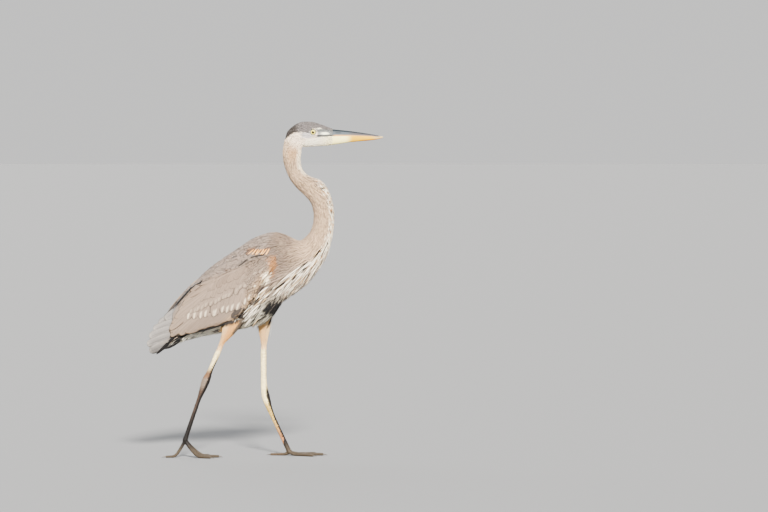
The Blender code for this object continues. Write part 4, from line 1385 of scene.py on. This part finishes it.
horn, tree, shader, place, streaks = tinted_material(
    "bill_horn", {"Roughness": 0.50, "Specular IOR Level": 0.08},
    {"Scale": 1.0, "Detail": 4.0}, 0.80, 1.16)
stretch = add_node(tree, "Mapping", {"Scale": (60.0, 420.0, 420.0)})
wire(tree, (place, "Object", stretch, "Vector"), (stretch, "Vector", streaks, "Vector"))
add_bump(tree, shader, streaks, "Fac", 0.25, 0.0003)
add_piece("upper_bill", half_bill("upper_bill", True), horn, "dark_horn", "bill_upper")
add_piece("lower_bill", half_bill("lower_bill", False), horn, "yellow_horn", "bill_lower")


# ---- Eyes ----------------------------------------------------------------------
# Pale yellow irises round small black pupils, under a clear wet cornea, each set in
# a thin rim of bare lid.

EYE_RADIUS = 0.0090
IRIS_RADIUS = 0.0064
EYE_AROUND = 48
LID_DEPTH = (0.0011, 0.0008)
IRIS_BANDS = (          # from the pupil's middle out to the white
    (0.00, (0.002, 0.002, 0.002)), (0.56, (0.003, 0.003, 0.003)), (0.59, (0.30, 0.22, 0.02)),
    (0.70, (0.78, 0.64, 0.07)), (0.88, (0.80, 0.70, 0.12)), (0.96, (0.06, 0.06, 0.03)),
    (1.00, (0.03, 0.03, 0.03)),
)


def colour_bands(tree, bands, interpolation="LINEAR"):
    """A colour ramp node with (stop, colour) bands."""
    made = add_node(tree, "ValToRGB")
    made.color_ramp.interpolation = interpolation
    while len(made.color_ramp.elements) < len(bands):
        made.color_ramp.elements.new(0.5)
    for element, (stop, colour) in zip(made.color_ramp.elements, bands):
        element.position = stop
        element.color = (*colour, 1.0)
    return made


def noise_banded_material(name, roughness, scale, bands):
    """A material that wanders between two colours."""
    material, tree, shader = new_material(name, {"Roughness": roughness})
    place = add_node(tree, "TexCoord")
    noise = add_node(tree, "TexNoise", {"Scale": scale})
    ramp = colour_bands(tree, bands)
    wire(tree, (place, "Object", noise, "Vector"), (noise, "Fac", ramp, "Fac"),
         (ramp, "Color", shader, "Base Color"))
    return material


def turned_mesh(name, profile, hand, joined):
    """Turn (radius, out) pairs about the eye's axis. The UV map tells the iris's rings."""
    angle = 2 * math.pi * np.arange(EYE_AROUND) / EYE_AROUND
    radius, out = np.array(profile).T[:, :, None]
    mesh = ring_mesh(name, np.stack((
        EYE.x + radius * np.cos(angle), hand * (EYE.y + out) + 0 * angle,
        EYE.z + radius * np.sin(angle),
    ), axis=-1), joined)
    x, y, z = vertex_array(mesh)[[loop.vertex_index for loop in mesh.loops]].T
    reach = np.hypot(x - EYE.x, z - EYE.z) / IRIS_RADIUS
    ring = np.where(np.abs(y) > EYE.y, np.minimum(reach * 0.95, 1.0), 1.0)
    turn = np.arctan2(z - EYE.z, x - EYE.x) / (2 * math.pi) + 0.5
    uv = mesh.uv_layers.new(name="rings")
    uv.data.foreach_set("uv", np.stack((ring, turn), axis=1).ravel())
    return mesh


eye_paint, tree, shader = new_material("eye", {
    "Roughness": 0.30, "Specular IOR Level": 0.1, "Coat Weight": 0.6, "Coat Roughness": 0.03,
})
rings_uv = add_node(tree, "UVMap", uv_map="rings")
split = add_node(tree, "SeparateXYZ")
bands = colour_bands(tree, IRIS_BANDS, "EASE")
fibres = add_node(tree, "TexNoise", {"Scale": 14.0})
fibre_range = add_node(tree, "MapRange", {"To Min": 0.82, "To Max": 1.12})
fibred = add_node(tree, "VectorMath", operation="SCALE")
wire(tree, (rings_uv, "UV", split, "Vector"), (split, "X", bands, "Fac"),
     (rings_uv, "UV", fibres, "Vector"), (fibres, "Fac", fibre_range, "Value"),
     (bands, "Color", fibred, 0), (fibre_range, "Result", fibred, "Scale"),
     (fibred, "Vector", shader, "Base Color"))
lid_paint = noise_banded_material("eyelid", 0.5, 1400.0, (
    (0.35, (0.050, 0.055, 0.036)), (0.65, (0.18, 0.18, 0.10))))

ball_profile = [(EYE_RADIUS * math.sin(turn), EYE_RADIUS * math.cos(turn))
                for turn in np.radians(range(2, 180, 5))]
lid_radius = EYE_OPENING + 0.0004
lid_out = math.sqrt(EYE_RADIUS ** 2 - EYE_OPENING ** 2) + 0.0002
lid_profile = [
    (lid_radius + LID_DEPTH[0] * math.cos(turn), lid_out + LID_DEPTH[1] * math.sin(turn))
    for turn in np.arange(12) * math.pi / 6
]
for hand, side_name in ((1, "left"), (-1, "right")):
    ball = turned_mesh("eyeball_" + side_name, ball_profile, hand, False)
    add_piece("eyeball_" + side_name, ball, eye_paint, "eye_yellow", "eye_" + side_name)
    lid = turned_mesh("eyelid_" + side_name, lid_profile, hand, True)
    add_piece("eyelid_" + side_name, lid, lid_paint, "buff_feather")


# ---- Legs and feet -------------------------------------------------------------
# Horny scutes in staggered rings down the shins and tarsi, small scales on the toes,
# and a short curved claw on each toe.

SCUTE_PITCH = 0.0034
SCUTES_ROUND = 9
FOOT_TOP = 0.034
FOOT_JOINTS = ((0.086, 0.029), (-0.222, -0.036))    # where the left and right toes meet


def leg_rings():
    """Roots, facings and directions of scutes about each leg, found level by level."""
    found = []
    for hand in (-1, 1):
        own = positions[positions[:, 1] * hand > 0.008]
        middles = []
        for level in np.arange(BARE_BELOW, 0.030, -SCUTE_PITCH):
            slab = own[np.abs(own[:, 2] - level) < 0.002]
            slab = slab[(slab[:, 0] > -0.252) & (slab[:, 0] < 0.09)]
            if len(slab) and np.ptp(slab[:, 0]) < 0.035:
                middles.append(Vector(slab.mean(axis=0)))
        for ring, (here, below) in enumerate(zip(middles, middles[1:])):
            down = (below - here).normalized()
            out = down.cross(Vector((0.0, 1.0, 0.0))).normalized()
            for part in range(SCUTES_ROUND):
                angle = 2 * math.pi * (part + 0.5 * (ring % 2)) / SCUTES_ROUND
                ray = Matrix.Rotation(angle, 3, down) @ out
                touch, normal, _, _ = skin_tree.ray_cast(here + ray * 0.03, -ray, 0.03)
                if touch is not None:
                    found.append((touch, normal, down))
    return [np.array(column) for column in zip(*found)]


def on_foot(points):
    return points[:, 2] < FOOT_TOP


def add_scales(name, roots, facing, heading, length, width, tip_lift, seed):
    random = np.random.default_rng(seed)
    marks, profile = ROUNDED
    lengths = np.full(len(roots), length)
    middle, upward, onward = lay(roots, facing, heading, lengths, (0.0, tip_lift), marks)
    half = np.tile(width / 2 * profile, (len(roots), 1))
    tone = leg_colours(roots) * random.normal(1.0, 0.07, (len(roots), 1))
    colours = np.broadcast_to(tone[:, None, None, :], (len(roots), len(marks), 3, 3))
    colours = colours * (1.06 - 0.22 * soft(marks, 0.75, 1.0))[None, :, None, None]
    vane_object(name, middle, upward, onward, half, 0.00022, 0.006, colours,
                scale_material, "leg_skin")


scale_material, _, _, _, _ = tinted_material(
    "leg_scale", {"Roughness": 0.55, "Specular IOR Level": 0.22},
    {"Scale": 120.0, "Detail": 5.0}, 0.70, 1.22)
add_scales("leg_scutes", *leg_rings(), 0.0044, 0.0062, 0.00035, 97)

foot_roots, foot_facing = scatter(on_foot, 0.0027, 101)
upper_side = foot_facing[:, 2] > -0.35
foot_roots = foot_roots[upper_side]
foot_facing = foot_facing[upper_side]
outward = foot_roots[:, :2] - np.where(foot_roots[:, 1:2] > 0, *FOOT_JOINTS)
foot_heading = unit(np.hstack((outward, np.full((len(outward), 1), -0.003))))
add_scales("toe_scales", foot_roots, foot_facing, foot_heading, 0.0042, 0.0040, 0.0003, 103)

claw_paint = noise_banded_material("claw", 0.32, 500.0, (
    (0.35, (0.030, 0.025, 0.020)), (0.70, (0.075, 0.060, 0.045))))
for side_name in ("left", "right"):
    for toe in ("middle", "outer", "inner", "hind"):
        node = "claw_" + toe + "_" + side_name
        raw = place_object("raw_claw", finish_mesh(welded_node(node), "raw_claw"))
        raw.modifiers.new("rounding", "SUBSURF").levels = 2
        add_piece("horn_" + node, modified(raw), claw_paint, "claw_horn", node)
